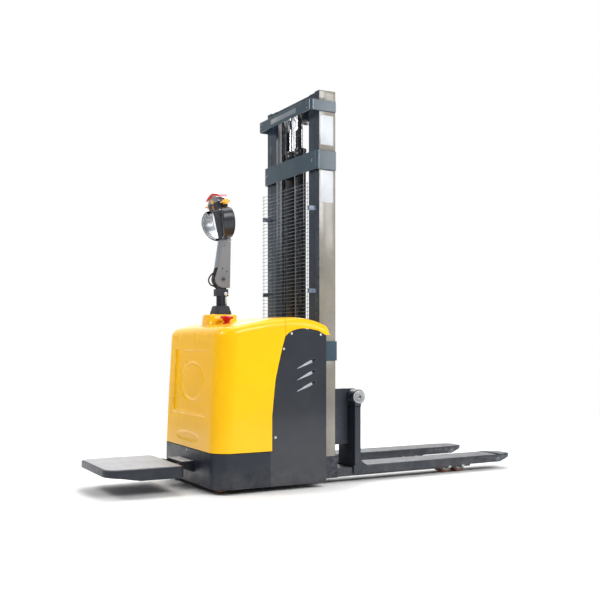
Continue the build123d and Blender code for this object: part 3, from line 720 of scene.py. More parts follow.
def louvre(side, zc, k):
    """A pressed scoop: a lip painted light grey as a highlight, swelling towards the mast, with a near-black sheet at
    its upper end as painted shade in the throat.
    """
    a = math.atan2(46, 105)
    c, s = math.cos(a), math.sin(a)
    rows = []
    nu, nv = 34, 13
    for j in range(nv):
        q = -1 + 2 * j / (nv - 1)
        row = []
        for i in range(nu):
            u = -63 + 96 * i / (nu - 1)
            half = 2.0 + 5.2 * sstep(-63, 20, u)
            half *= math.sqrt(max(0.0, 1 - max(0.0, (-50 - u) / 13.0) ** 2)) if u < -50 else 1.0
            vv = q * half
            rise = 0.12 + 2.0 * (1 - q * q) ** 0.7 * sstep(-63, -20, u)
            row.append((-119.5 + u * c - vv * s, side * (387.0 + rise), zc + u * s + vv * c))
        rows.append(row)
    o = grid(f"louvre_{k}", mm(np.array(rows).reshape(-1, 3)).reshape(len(rows), nu, 3), ang=60)
    sm = o.modifiers.new("thick", "SOLIDIFY")
    sm.thickness = 0.0007
    sm.offset = 0
    finish_piece(o, "chassis", "panel_grey", "louvre_lip_painted_highlight")
    # raised bead round the throat
    ring = []
    for i in range(40):
        t = 2 * math.pi * i / 40
        cu, cv = 42 + 18.5 * math.copysign(abs(math.cos(t)) ** 0.6, math.cos(t)), 7.2 * math.copysign(abs(math.sin(t)) ** 0.6, math.sin(t))
        r_ = []
        for j in range(8):
            b = 2 * math.pi * j / 8
            g = 1 + 1.1 * math.cos(b) / 14.0
            r_.append((-119.5 + cu * g * c - cv * g * s, side * (387.2 + 0.7 * math.sin(b)), zc + cu * g * s + cv * g * c))
        ring.append(r_)
    ring.append(ring[0])
    v = [p for r in ring for p in r]
    f = []
    for i in range(40):
        for j in range(8):
            q = (j + 1) % 8
            f.append((i * 8 + j, i * 8 + q, (i + 1) * 8 + q, (i + 1) * 8 + j))
    o = multi(f"louvre_bead_{k}", [(mm(v), f)], 60)
    finish_piece(o, "chassis", "panel_grey")
    # painted shade: a near-black sheet just inside the bead stands in for the shaded throat
    fan = [(-119.5 + 42 * c, side * 387.06, zc + 42 * s)]
    for i in range(40):
        t = 2 * math.pi * i / 40
        cu, cv = 42 + 17.6 * math.copysign(abs(math.cos(t)) ** 0.6, math.cos(t)), 6.4 * math.copysign(abs(math.sin(t)) ** 0.6, math.sin(t))
        fan.append((-119.5 + cu * c - cv * s, side * 387.1, zc + cu * s + cv * c))
    o = multi(f"louvre_throat_painted_shade_{k}", [(mm(fan), [(0, 1 + i, 1 + (i + 1) % 40) for i in range(40)])], 60)
    sm = o.modifiers.new("thick", "SOLIDIFY")
    sm.thickness = 0.0004
    sm.offset = 0
    finish_piece(o, "chassis", "panel_grey", "painted_shade_and_seal_black")


k = 0
for side in (-1, 1):
    for zc in (645, 586.5, 529):
        louvre(side, zc, k)
        k += 1
    # near-black sheet inside the panel behind the louvres: painted shade seen through the openings
    v, f = boxmesh(*V(-190, 0, 0)[:1], *V(-50, 0, 0)[:1], *sorted((side * 0.3795, side * 0.3815)), 0.48, 0.70, 0.0005)
    o = multi(f"louvre_painted_shade_backing_{'n' if side < 0 else 'p'}", [(v, f)])
    finish_piece(o, "chassis", "panel_grey", "painted_shade_and_seal_black")

sp = []
socket_shade_discs = []
for x, z in ((-207, 800), (-36, 795), (-252, 722), (-300, 274)):
    for side in (1, -1):
        pr = rounded([(0.0001, 2.0), (3.0, 2.0), (5.5, 1.2), (6.2, 0.05), (5.9, -0.5)], 0.8, 3)
        pr = [(max(r, 0.01) / 1000, side * (387.0 + h) / 1000) for r, h in pr]
        sp.append(lathe_mesh(pr, V(x, 0, z), "y", 28))
        # near-black disc on each screw head: painted shade for the socket recess
        pr2 = [(2.1 / 1000, side * (387.0 + 2.06) / 1000), (0.00001, side * (387.0 + 2.04) / 1000)]
        socket_shade_discs.append(lathe_mesh(pr2, V(x, 0, z), "y", 6))
pr = [(max(r, 0.01) / 1000, h) for r, h in rounded([(0.0001, -2.0), (3.0, -2.0), (5.5, -1.2), (6.2, -0.05)], 0.8, 3)]
sp.append(lathe_mesh([(r, h / 1000 + (-627.0 + SX) / 1000) for r, h in pr], (0, 0, 0.190), "x", 28))
o = multi("panel_screw_heads", sp, 50)
finish_piece(o, "chassis", "steel", "screw_zinc", ("panel_screws",))
o = multi("panel_screw_socket_shade", socket_shade_discs, 50)
finish_piece(o, "chassis", "steel", "painted_shade_and_seal_black")

# emergency stop: fixed collar on the hood and a mushroom head that moves
ZE = 853.0
pr = rounded([(15.9, ZE - 9), (22.5, ZE - 9), (22.5, ZE + 1.5), (20.5, ZE + 5.0), (15.9, ZE + 5.0), (15.9, ZE - 9)], 1.0, 3)
o = multi("estop_base_ring", [lathe_mesh([(r / 1000, h / 1000) for r, h in pr], V(-455, -130, 0), "z", 56)], 40)
finish_piece(o, "chassis", "button_red")
pr = rounded([(0.02, 848), (14.9, 848), (14.9, 868.2), (21, 869.5), (22.5, 876), (30, 879.2), (34.9, 880.5), (34.9, 885), (32.5, 890.5), (25, 893.4), (12, 893.9), (0.02, 892.6)], 2.4, 4)
o = multi("estop_mushroom", [lathe_mesh([(r / 1000, h / 1000) for r, h in pr], V(-455, -130, 0), "z", 64)], 45)
finish_piece(o, BODY["estop_button"], "button_red", None, ("estop_button",))

# ------------------------------------------------------------------ mast
dress("outer_rails", "mast_slate", "mast_slate", width=0.0022, seg=3)
dress("inner_rails", "mast_slate", width=0.002, seg=2)
for n in ("upper_band", "middle_band", "lower_band"):
    dress(n, "band_slate", width=0.0013, seg=2)
dress("inner_mast_ties", "mast_slate", width=0.0018, seg=2)
dress("mesh_guard", "wire_steel", width=0, dissolve=False, smooth_ang=60)


def paint_web_reflection(side):
    """The rail web's outer face as a thin skin with soft edges, in a light beige-grey that is a painted reflection of
    the bright studio on the lacquer.
    """
    y = side * 306.0
    parts = []
    for z0, z1 in ((148, 657.6), (761.4, 1673.6), (1775.4, 1983.6), (2041.4, 2094.3)):
        v, f = boxmesh((2.0 + SX) / 1000, (98.0 + SX) / 1000, *sorted((y / 1000 - side * 0.0004, y / 1000 + side * 0.00015)), z0 / 1000, z1 / 1000, 0.0001)
        parts.append((v, f))
    o = multi(f"rail_web_painted_reflection_{'r' if side < 0 else 'l'}", parts)
    finish_piece(o, "chassis", "mast_slate", "mast_web_painted_reflection")


paint_web_reflection(-1)
paint_web_reflection(1)

lab = []
for side in (-1, 1):
    for z0, z1 in ((1806, 1962), (1500, 1668)):
        y = side * 306.0
        lab.append(boxmesh((8 + SX) / 1000, (86 + SX) / 1000, *sorted((y / 1000 + side * 0.0001, y / 1000 + side * 0.0007)), z0 / 1000, z1 / 1000, 0.0003))
o = multi("blank_plates", lab)
finish_piece(o, "chassis", "bracket_grey", "label_white")
# a blank strip on the upper band's operator side
v, f = boxmesh((-57.7 + SX) / 1000, (-57.05 + SX) / 1000, -0.150, 0.150, 2.0, 2.027, 0.0003)
o = multi("band_strip", [(v, f)])
finish_piece(o, "chassis", "band_slate", "head_silver")


def bolts(name, body, pts, axis, r, h, slot="steel", mat=None):
    parts = []
    for p, sgn in pts:
        a = lathe_mesh([(r * 1.35 / 1000, 0.0), (r * 1.35 / 1000, sgn * 0.0012), (r * 1.1 / 1000, sgn * 0.0012)], V(*p), axis, 24)
        b = lathe_mesh([(r / 1000, sgn * 0.0012), (r / 1000, sgn * h / 1000 * 0.86), (r * 0.86 / 1000, sgn * h / 1000), (0.00001, sgn * h / 1000)], V(*p), axis, 6)
        parts += [a, b]
    o = multi(name, parts, 25)
    return finish_piece(o, body, slot, mat)


bolts("band_bolts", "chassis", [((x, y, z), -1) for x in (-22,) for y in (-270, 270) for z in (709, 1724)], "x", 7.5, 6.0)
bolts("upper_band_bolts", "chassis", [((-57, y, z), -1) for y in (-275, 275) for z in (2000, 2026)], "x", 4.5, 3.5)

# cylinders with gland heads, rods
cp, rp = [], []
for s in (1, -1):
    c = V(26, s * 52, 0)
    pr = rounded([(0.3, 147.5), (31, 147.5), (31, 1700), (31, 1788), (34, 1790), (34, 1806), (32.6, 1807.5), (32.6, 1812), (34, 1813.5), (34, 1829), (31, 1833), (20, 1833), (17.5, 1830.5), (14.4, 1830.5), (14.4, 1790)], 1.0, 2)
    cp.append(lathe_mesh([(r / 1000, h / 1000) for r, h in pr], c, "z", 72))
    pr = rounded([(0.2, 177), (13.9, 177), (13.9, 2062), (12.0, 2063.8), (0.2, 2063.8)], 0.8, 2)
    rp.append(lathe_mesh([(r / 1000, h / 1000) for r, h in pr], c, "z", 48))
o = multi("lift_cylinder_tubes", cp, 35)
finish_piece(o, "chassis", "cylinder_black", None, ("lift_cylinders",))
o = multi("lift_rods", rp, 35)
finish_piece(o, BODY["cylinder_rods"], "chrome", None, ("cylinder_rods",))

# sheaves: flanged rims, web with holes shown as pockets, hub
sv = []
for s in (1, -1):
    c = V(42, s * 95, 2005)
    pr = [(11.2, -13.3), (19, -13.3), (20, -12), (20, -8.5), (28.5, -8.5), (30, -10), (30, -13.3), (47.9, -13.3), (47.9, -12.7), (46.3, -11.9), (35.2, -11.9), (34.6, -10.8), (34.6, 10.8), (35.2, 11.9), (46.3, 11.9), (47.9, 12.7), (47.9, 13.3), (30, 13.3), (30, 10), (28.5, 8.5), (20, 8.5), (20, 12), (19, 13.3), (11.2, 13.3), (11.2, -13.3)]
    sv.append(lathe_mesh([(r / 1000, h / 1000) for r, h in rounded(pr, 0.7, 2)], c, "y", 72))
    for i in range(6):
        t = 2 * math.pi * i / 6
        for sg in (1, -1):
            q = (c[0] + 0.0243 * math.cos(t), c[1] + sg * 0.00846, c[2] + 0.0243 * math.sin(t))
            sv.append(lathe_mesh([(0.0034, 0.0), (0.0031, sg * 0.0006), (0.0022, sg * 0.0007), (0.00001, sg * 0.0002)], q, "y", 20))
o = multi("sheave_discs", sv, 35)
finish_piece(o, BODY["chain_sheaves"], "steel", None, ("chain_sheaves",))


# roller chains
def plate(L, r, t, waist):
    """Outline of a chain plate: two rounded ends and a slight waist, as local (along, across)."""
    pts = []
    for i in range(9):
        a = math.radians(-90 + 180 * i / 8)
        pts.append((L / 2 + r * math.cos(a), r * math.sin(a)))
    pts.append((0, waist))
    for i in range(9):
        a = math.radians(90 + 180 * i / 8)
        pts.append((-L / 2 + r * math.cos(a), r * math.sin(a)))
    pts.append((0, -waist))
    return pts


def chain(path, pitch=19.05, first=0):
    """Roller chain along a list of (x, z) pin positions at one y. Returns (verts, faces) at y 0, mm."""
    vs, fs = [], []

    def add(v, f):
        o = len(vs)
        vs.extend(v)
        fs.extend([tuple(i + o for i in q) for q in f])

    for i in range(len(path) - 1):
        (x0, z0), (x1, z1) = path[i], path[i + 1]
        L = math.hypot(x1 - x0, z1 - z0)
        ux, uz = (x1 - x0) / L, (z1 - z0) / L
        outer = (i + first) % 2 == 0
        ys = ((8.2, 10.6), (-10.6, -8.2)) if outer else ((5.4, 7.8), (-7.8, -5.4))
        out = plate(L, 8.4, 0, 6.6)
        for ya, yb in ys:
            v = []
            for y in (ya, yb):
                for a, b in out:
                    v.append(((x0 + x1) / 2 + ux * a - uz * b, y, (z0 + z1) / 2 + uz * a + ux * b))
            n = len(out)
            f = [tuple(range(n))[::-1], tuple(range(n, 2 * n))]
            f += [(j, (j + 1) % n, n + (j + 1) % n, n + j) for j in range(n)]
            add(v, f)
    for i, (x, z) in enumerate(path):
        for r, y0, y1 in ((5.9, -5.3, 5.3), (2.9, -11.0, 11.0)):
            v, n = [], 12
            for y in (y0, y1):
                for j in range(n):
                    t = 2 * math.pi * j / n
                    v.append((x + r * math.cos(t), y, z + r * math.sin(t)))
            f = [tuple(range(n))[::-1], tuple(range(n, 2 * n))] + [(j, (j + 1) % n, n + (j + 1) % n, n + j) for j in range(n)]
            add(v, f)
    return vs, fs


def chain_obj(name, path, first=0):
    v, f = chain(path, first=first)
    vs, fs = [], []
    for s in (1, -1):
        o = len(vs)
        vs += [(x, y + s * 95.0, z) for x, y, z in v]
        fs += [tuple(i + o for i in q) for q in f]
    o = multi(name, [(mm(vs), fs)], 30)
    o.data.materials.append(MATS["chain_steel"])
    return o


PR = 45.0
nA = 65
zA = [2005 - 19.05 * i for i in range(nA + 1)]
pathA = [(-3.0, z) for z in zA if z > 764]
anchor = chain_obj("anchor_run", pathA)
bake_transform(anchor)
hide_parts("anchor_chains")
nw = 7
pathW = [(42 - PR * math.cos(math.pi * i / nw), 2005 + PR * math.sin(math.pi * i / nw)) for i in range(nw + 1)]
wrap = chain_obj("sheave_wrap", pathW, 1)
finish_piece(wrap, "inner_mast", "chain_steel", None, ("carriage_chains",))
pathF = [(87.0, 2005 - 19.05 * i) for i in range(81) if 2005 - 19.05 * i > 480]
front = chain_obj("carriage_run", pathF)
finish_piece(front, "inner_mast", "chain_steel")
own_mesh(front)
# chain anchors: threaded studs and clevises at the lower band and at the carriage
an = []
for s in (1, -1):
    an.append(lathe_mesh([(r / 1000, h / 1000) for r, h in rounded([(0.1, 742), (9.5, 742), (9.5, 745), (6, 745.2), (6, 757.2), (9.0, 757.4), (9.0, 765), (6.5, 767), (0.1, 767)], 0.5, 2)], V(-3, s * 95, 0), "z", 6))
o = multi("chain_anchor_studs", an, 25)
finish_piece(o, "chassis", "steel")
an = []
for s in (1, -1):
    an.append(lathe_mesh([(r / 1000, h / 1000) for r, h in rounded([(0.1, 448), (9.0, 448), (9.0, 455), (6, 455.2), (6, 467.5), (0.1, 467.5)], 0.5, 2)], V(88, s * 95, 0), "z", 6))
    an.append(boxmesh((80 + SX) / 1000, (94 + SX) / 1000, (s * 95 - 14.1) / 1000, (s * 95 + 14.1) / 1000, 0.4655, 0.4705, 0.0007))
    for sg in (1, -1):
        ya, yb = sorted((s * 95 + sg * 11.7, s * 95 + sg * 14.1))
        an.append(boxmesh((80 + SX) / 1000, (94 + SX) / 1000, ya / 1000, yb / 1000, 0.4665, 0.4890, 0.0007))
        an.append(lathe_mesh([(0.0042, 0.0), (0.0042, sg * 0.0014), (0.0034, sg * 0.0019), (0.00001, sg * 0.0019)], V(87, s * 95 + sg * 14.0, 481), "y", 24))
o = multi("carriage_chain_studs", an, 25)
finish_piece(o, "carriage", "steel")


def roller(node, xs, zs, r, y0, y1, bore, body=None, slot="steel"):
    parts = []
    for s in (1, -1):
        for x, z in zip(xs, zs):
            m_, h = (y0 + y1) / 2 * s, (y1 - y0) / 2
            pr = [(bore, -h), (bore + 6, -h), (bore + 7, -h + 1.4), (r - 8, -h + 1.4), (r - 7, -h), (r, -h), (r, h), (r - 7, h), (r - 8, h - 1.4), (bore + 7, h - 1.4), (bore + 6, h), (bore, h), (bore, -h)]
            c = V(x, m_, z)
            parts.append(lathe_mesh([(a / 1000, b / 1000) for a, b in rounded(pr, 1.0, 2)], c, "y", 56))
    o = multi("v_" + node, parts, 35)
    finish_piece(o, BODY[node], slot, None, (node,))


roller("outer_mast_rollers", (50,), (1925,), 37.5, 232, 252, 12.1)
roller("inner_mast_rollers", (50,), (212,), 35.5, 262, 292, 12.1)
roller("carriage_rollers_lower", (50,), (300,), 37.5, 196, 216, 12.1)
roller("carriage_rollers_upper", (50,), (440,), 37.5, 196, 216, 12.1)

# ------------------------------------------------------------------ carriage and forks
dress("carriage_frame", "fork_black", width=0.002, seg=2)
dress("load_legs", "fork_black", width=0.0018, seg=2)
dress("load_wheel_axles", "steel", width=0.0006, seg=1)
pr = [(12.2, -308), (12.2, -323.4), (29.0, -324), (30, -322.6), (30, 322.6), (29.0, 324), (12.2, 323.4), (12.2, 308), (0.1, 308)]
pr = [(0.1, -308)] + pr
o = multi("fork_shaft_bar", [lathe_mesh([(r / 1000, h / 1000) for r, h in pr], V(242, 0, 460), "y", 64)], 30)
finish_piece(o, BODY["fork_shaft"], "chrome", "steel", ("fork_shaft",))


def fork(side, node):
    FI, FO = 143.0, 318.0
    ym = (FI + FO) / 2
    parts = []

    def section(x, zb, zt, yi, yo):
        """Open-bottomed channel outline with rounded top edges."""
        r = min(7.0, (zt - zb) * 0.4)
        w = 8.0
        pts = [(yi, zb)]
        for i in range(5):
            a = math.radians(180 - 90 * i / 4)
            pts.append((yi + r + r * math.cos(a), zt - r + r * math.sin(a)))
        for i in range(5):
            a = math.radians(90 - 90 * i / 4)
            pts.append((yo - r + r * math.cos(a), zt - r + r * math.sin(a)))
        pts += [(yo, zb), (yo - w, zb), (yo - w, max(zt - 6, zb + 1)), (yi + w, max(zt - 6, zb + 1)), (yi + w, zb)]
        return [(x, y, z) for y, z in pts]

    rows = [section(x, 45, 89, FI, FO) for x in (210, 300, 520, 740, 960, 1180, 1236)]
    m = len(rows[0])
    vs, fs = [], []
    for r_ in rows:
        vs += r_
    for i in range(len(rows) - 1):
        for j in range(m):
            k2 = (j + 1) % m
            fs.append((i * m + j, i * m + k2, (i + 1) * m + k2, (i + 1) * m + j))
    for b in (0, (len(rows) - 1) * m):
        # end caps: two walls and the top strip
        fs.append((b + 0, b + 1, b + m - 2, b + m - 1))
        fs.append(tuple([b + i for i in range(1, 11)] + [b + m - 3, b + m - 2]))
        fs.append((b + 10, b + 11, b + 12, b + 13))
    parts.append((vs, fs))
    # tip: tapers in plan and in side view
    tip = []
    for x, zb, zt, ins in ((1236, 45, 89, 0), (1262, 51, 89, 6), (1290, 58, 89, 14), (1312, 62.5, 89, 23), (1330, 66.5, 88.4, 35), (1342, 69, 86.4, 50), (1349, 71.2, 83.2, 62), (1350, 74, 80.5, 66)):
        r = min(7.0, (zt - zb) * 0.45)
        yi, yo = FI + ins, FO - ins
        pts = []
        for cx, cz, a0 in ((yi + r, zt - r, 180), (yo - r, zt - r, 90), (yo - r * 0.5, zb + r * 0.5, 0), (yi + r * 0.5, zb + r * 0.5, -90)):
            rr = r if cz > (zb + zt) / 2 else r * 0.5
            for i in range(5):
                a = math.radians(a0 - 90 * i / 4)
                pts.append((x, cx + rr * math.cos(a), cz + rr * math.sin(a)))
        tip.append(pts)
    n = len(tip[0])
    vs, fs = [], []
    for r_ in tip:
        vs += r_
    for i in range(len(tip) - 1):
        for j in range(n):
            fs.append((i * n + j, i * n + (j + 1) % n, (i + 1) * n + (j + 1) % n, (i + 1) * n + j))
    fs.append(tuple(range(n)))
    fs.append(tuple(range((len(tip) - 1) * n, len(tip) * n))[::-1])
    parts.append((vs, fs))
    # shank: rounded slab with a slight crown on the rear edges, up to the sleeves
    sh = []
    for z, x0, x1 in ((86, 217, 300), (92, 217, 292), (100, 217, 275), (112, 217, 262), (128, 217, 256), (150, 217, 255), (300, 217, 255), (411.5, 217, 255)):
        r = 4.0
        pts = []
        for cx, cy, a0 in ((x1 - r, FO - r, 90), (x1 - r, FI + r, 0), (x0 + r, FI + r, -90), (x0 + r, FO - r, -180)):
            for i in range(4):
                a = math.radians(a0 - 90 * i / 3)
                pts.append((cx + r * math.cos(a), cy + r * math.sin(a), z))
        sh.append(pts)
    n = len(sh[0])
    vs, fs = [], []
    for r_ in sh:
        vs += r_
    for i in range(len(sh) - 1):
        for j in range(n):
            fs.append((i * n + j, i * n + (j + 1) % n, (i + 1) * n + (j + 1) % n, (i + 1) * n + j))
    fs.append(tuple(range(n)))
    fs.append(tuple(range((len(sh) - 1) * n, len(sh) * n))[::-1])
    parts.append((vs, fs))
    for y0, y1 in ((FI, 232), (252, FO)):
        a, b = y0 + 1.5, y1 - 1.5
        pr = [(30.1, y0 + 0.4), (36.5, y0), (39, y0 + 2.2), (39, y1 - 2.2), (36.5, y1), (30.1, y1 - 0.4), (30.1, y0 + 0.4)]
        v, f = lathe_mesh([(r, h) for r, h in pr], (242, 0, 460), "y", 64)
        parts.append((v, f))
        bx = boxmesh(217, 255, y0, y1, 405, 428, 0.0)
        parts.append(bx)
        bead = []
    P = []
    for v, f in parts:
        P.append((mm([(x, side * y, z) for x, y, z in v]), f))
    o = multi("v_" + node, P, 30)
    bevel(o, 0.0012, 2, 50)
    finish_piece(o, BODY[node], "fork_black", None, (node,))
    # collar ring that shows round the shaft's end
    v, f = lathe_mesh([(r / 1000, side * h / 1000) for r, h in rounded([(30.05, 317.6), (30.05, 320.4), (33.5, 320.4), (34.5, 319.6), (34.5, 317.6)], 0.5, 2)], V(242, 0, 460), "y", 56)
    o = multi("shaft_collar_" + ("l" if side > 0 else "r"), [(v, f)], 35)
    finish_piece(o, "carriage", "steel", "label_white")


fork(1, "fork_left")
fork(-1, "fork_right")


# ------------------------------------------------------------------ wheels
def wheel(name, node, body, c, r, w, bore, hub, tread_mat, tread_in, slot, bolts_n=0, crown=0.6):
    """Tyre with rounded shoulders, steel rim with a stepped disc, bearing and bolts."""
    h = w / 2
    pr = [(tread_in, -h + 1.2), (tread_in + 2.5, -h), (r - 7, -h), (r - 2.5, -h + 2.2), (r - 0.4, -h + 7), (r - 0.02, 0), (r - 0.4, h - 7), (r - 2.5, h - 2.2), (r - 7, h), (tread_in + 2.5, h), (tread_in, h - 1.2), (tread_in, -h + 1.2)]
    o = multi(name + "_tread", [lathe_mesh([(a / 1000, b / 1000) for a, b in rounded(pr, 2.0, 3)], V(*c), "y", 88)], 45)
    finish_piece(o, body, slot, tread_mat, (node,))
    d = min(5.0, h * 0.3)
    pr = [(bore, -h + 0.6), (hub, -h + 0.6), (hub + 1, -h + 1.6), (hub + 1.5, -h + d), (tread_in - 4, -h + d), (tread_in - 2.5, -h + 0.9), (tread_in - 0.2, -h + 0.7), (tread_in - 0.2, h - 0.7), (tread_in - 2.5, h - 0.9), (tread_in - 4, h - d), (hub + 1.5, h - d), (hub + 1, h - 1.6), (hub, h - 0.6), (bore, h - 0.6), (bore, -h + 0.6)]
    parts = [lathe_mesh([(a / 1000, b / 1000) for a, b in rounded(pr, 0.6, 2)], V(*c), "y", 72)]
    for i in range(bolts_n):
        t = 2 * math.pi * (i + 0.5) / bolts_n
        rr = (hub + tread_in) / 2
        for sg in (1, -1):
            q = (c[0] + rr * math.cos(t), c[1] + sg * (h - d), c[2] + rr * math.sin(t))
            parts.append(lathe_mesh([(0.0052, 0.0), (0.0052, sg * 0.0028), (0.0042, sg * 0.0034), (0.00001, sg * 0.0034)], V(*q), "y", 6))
    o = multi(name + "_hub", parts, 32)
    finish_piece(o, body, "steel")
    o2 = multi(name + "_bearing", [lathe_mesh([(a / 1000, b / 1000) for a, b in ((bore + 1.2, h - 0.5), (hub - 1.4, h - 0.5), (hub - 1.6, h - 0.2), (bore + 1.0, h - 0.2), (bore + 1.2, h - 0.5))], V(*c), "y", 48),
                                   lathe_mesh([(a / 1000, b / 1000) for a, b in ((bore + 1.2, -h + 0.5), (hub - 1.4, -h + 0.5), (hub - 1.6, -h + 0.2), (bore + 1.0, -h + 0.2), (bore + 1.2, -h + 0.5))], V(*c), "y", 48)], 40)
    finish_piece(o2, body, "motor_black", "painted_shade_and_seal_black")


for nm, x in (("rear", 870), ("front", 966)):
    for s, sd in ((1, "left"), (-1, "right")):
        node = f"load_wheel_{nm}_{sd}"
        wheel(node, node, BODY[node], (x, s * 230.5, 40), 40, 84, 10.05, 18, "pu_tread", 27, "pu_tread")
for s, sd in ((1, "left"), (-1, "right")):
    node = f"caster_wheel_{sd}"
    wheel(node, node, BODY[node], (-555, s * 290, 60), 60, 32, 7.1, 17, "pu_tread", 40, "pu_tread")
    dress(f"caster_fork_{sd}", "steel", width=0.0014, seg=2)
wheel("drive_wheel", "drive_wheel", BODY["drive_wheel"], (-434, 0, 115), 115, 75, 20.1, 40, "drive_tread", 84, "drive_tread", bolts_n=6)

# ------------------------------------------------------------------ drive unit, battery and the rest inside
dress("slewing_bearing", "gear_iron", width=0.0012)
dress("drive_gearbox", "gear_iron", width=0.004, seg=3)
dress("battery", "battery_case", width=0.006, seg=3)
dress("hydraulic_power_pack", "motor_black", width=0.004, seg=3)
dress("motor_controller", "controller_alu", width=0.003, seg=2)
dress("steer_column", "boot_rubber", "loop_black", width=0.0014, seg=2)
dress("drive_motor", "motor_black", width=0.003, seg=3)
fins = []
for i in range(14):
    z = 330 + 12.5 * i
    fins.append(lathe_mesh([(a / 1000, b / 1000) for a, b in ((70, z), (76, z + 0.6), (76, z + 3.4), (70, z + 4))], V(-434, 0, 0), "z", 56))
o = multi("motor_fins", fins, 30)
finish_piece(o, "steering", "motor_black")
caps = []
for i in range(6):
    for s in (1, -1):
        caps.append(lathe_mesh([(a / 1000, b / 1000) for a, b in ((17, 620), (17, 626), (14, 629), (0.01, 629))], V(-262 + 42 * i, s * 250, 0), "z", 32))
o = multi("battery_caps", caps, 35)
finish_piece(o, "chassis", "battery_case", "button_yellow")
fin = []
for i in range(16):
    x = -560 + 12.7 * i
    fin.append(boxmesh((x + SX) / 1000, (x + 3.5 + SX) / 1000, -0.338, -0.192, 0.400, 0.414, 0.0006))
o = multi("controller_fins", fin, 30)
finish_piece(o, "chassis", "controller_alu")

# ------------------------------------------------------------------ tiller
# boot: a moulded rubber cover with two soft folds
rows = []
for z, hx in ((903.7, 50.2), (906, 50.4), (909, 49.2), (917, 47.2), (922, 46.9), (925, 44.6), (933, 42.6), (939, 42.2), (942, 40.2), (948, 38.6), (950, 36.6), (950.3, 31.0), (948.6, 26.0)):
    r = []
    for i in range(64):
        t = 2 * math.pi * i / 64
        c, s = math.cos(t), math.sin(t)
        p = 2.0 / 5.0
        r.append((-434 + hx * math.copysign(abs(c) ** p, c), hx * math.copysign(abs(s) ** p, s), z))
    rows.append(r)
r = [(-434 + 23.7 * math.cos(2 * math.pi * i / 64), 23.7 * math.sin(2 * math.pi * i / 64), 948.2) for i in range(64)]
rows.append(r)
o = grid("boot_cover", mm(np.array(rows).reshape(-1, 3)).reshape(len(rows), 64, 3), closed=True, ang=50)
finish_piece(o, BODY["tiller_boot"], "boot_rubber", None, ("tiller_boot",))
# bright rod and round pin beside the column
o = multi("column_rod", [lathe_mesh([(a / 1000, b / 1000) for a, b in rounded([(0.1, 953), (6.2, 953), (6.2, 1001.5), (0.1, 1001.5)], 0.5, 2)], V(-405, 0, 0), "z", 32),
                         lathe_mesh([(a / 1000, b / 1000) for a, b in rounded([(0.1, -24.5), (8.6, -24.5), (10.5, -22.5), (10.5, 22.5), (8.6, 24.5), (0.1, 24.5)], 1.2, 3)], V(-413, 0, 1014), "y", 40)], 35)
finish_piece(o, "steering", "chrome", "screw_zinc")

dress("tiller_arm", "arm_grey", width=0.0035, seg=3, ang=30)
# light front face of the arm
ARM_F = [(-438.9, 1290), (-460.3, 1156)]
v, f = boxmesh(0, 1, 0, 1, 0, 1)
x0, z0 = ARM_F[0]
x1, z1 = ARM_F[1]
fv = []
for t in np.linspace(0.02, 0.98, 20):
    for y in np.linspace(-25.5, 25.5, 9):
        b = 0.9 * (1 - (abs(y) / 25.5) ** 6)
        fv.append((x0 + (x1 - x0) * t - 0.35 * b + 0.5, y, z0 + (z1 - z0) * t))
o = grid("arm_front_cover", mm(fv).reshape(20, 9, 3), ang=60)
sm = o.modifiers.new("thick", "SOLIDIFY")
sm.thickness = 0.0008
sm.offset = 0
finish_piece(o, "tiller", "head_silver", "head_silver")
bolts("arm_bolts", "tiller", [((-436, sg * 30, 1150), sg) for sg in (1, -1)] + [((-412, sg * 30, 1134), sg) for sg in (1, -1)] + [((-426, sg * 30, 1272), sg) for sg in (1, -1)], "y", 3.2, 2.4, "steel", "gear_iron")
bolts("arm_pivot_bolt", "tiller", [((-431, sg * 34, 1093), sg) for sg in (1, -1)], "y", 7.0, 4.0, "steel", "gear_iron")

LEAN = math.radians(12)
HO = np.array([-410.0, 0.0, 1300.0])
AXY = np.array([0.0, 1.0, 0.0])
AXH = np.array([-math.sin(LEAN), 0.0, math.cos(LEAN)])
AXT = np.array([math.cos(LEAN), 0.0, math.sin(LEAN)])


def H(y, h, t):
    return tuple(HO + AXY * y + AXH * h + AXT * t)


def superloft(name, rings, n=64, body="tiller", slot="head_silver", mat=None, nodes=(), ang=45, caps=True):
    """Rings of rounded boxes in the head's plane: (h, half y, half t, centre t, squareness)."""
    rows = []
    for h, hy, ht, ct, p in rings:
        r = []
        for i in range(n):
            a = 2 * math.pi * i / n
            c, s = math.cos(a), math.sin(a)
            e = 2.0 / p
            r.append(H(hy * math.copysign(abs(c) ** e, c), h, ct + ht * math.copysign(abs(s) ** e, s)))
        rows.append(r)
    v = [p for r in rows for p in r]
    m = n
    f = []
    for i in range(len(rows) - 1):
        for j in range(m):
            k = (j + 1) % m
            f.append((i * m + j, i * m + k, (i + 1) * m + k, (i + 1) * m + j))
    if caps:
        f.append(tuple(range(m))[::-1])
        f.append(tuple(range((len(rows) - 1) * m, len(rows) * m)))
    o = multi(name, [(mm(v), f)], ang)
    return finish_piece(o, body, slot, mat, nodes)


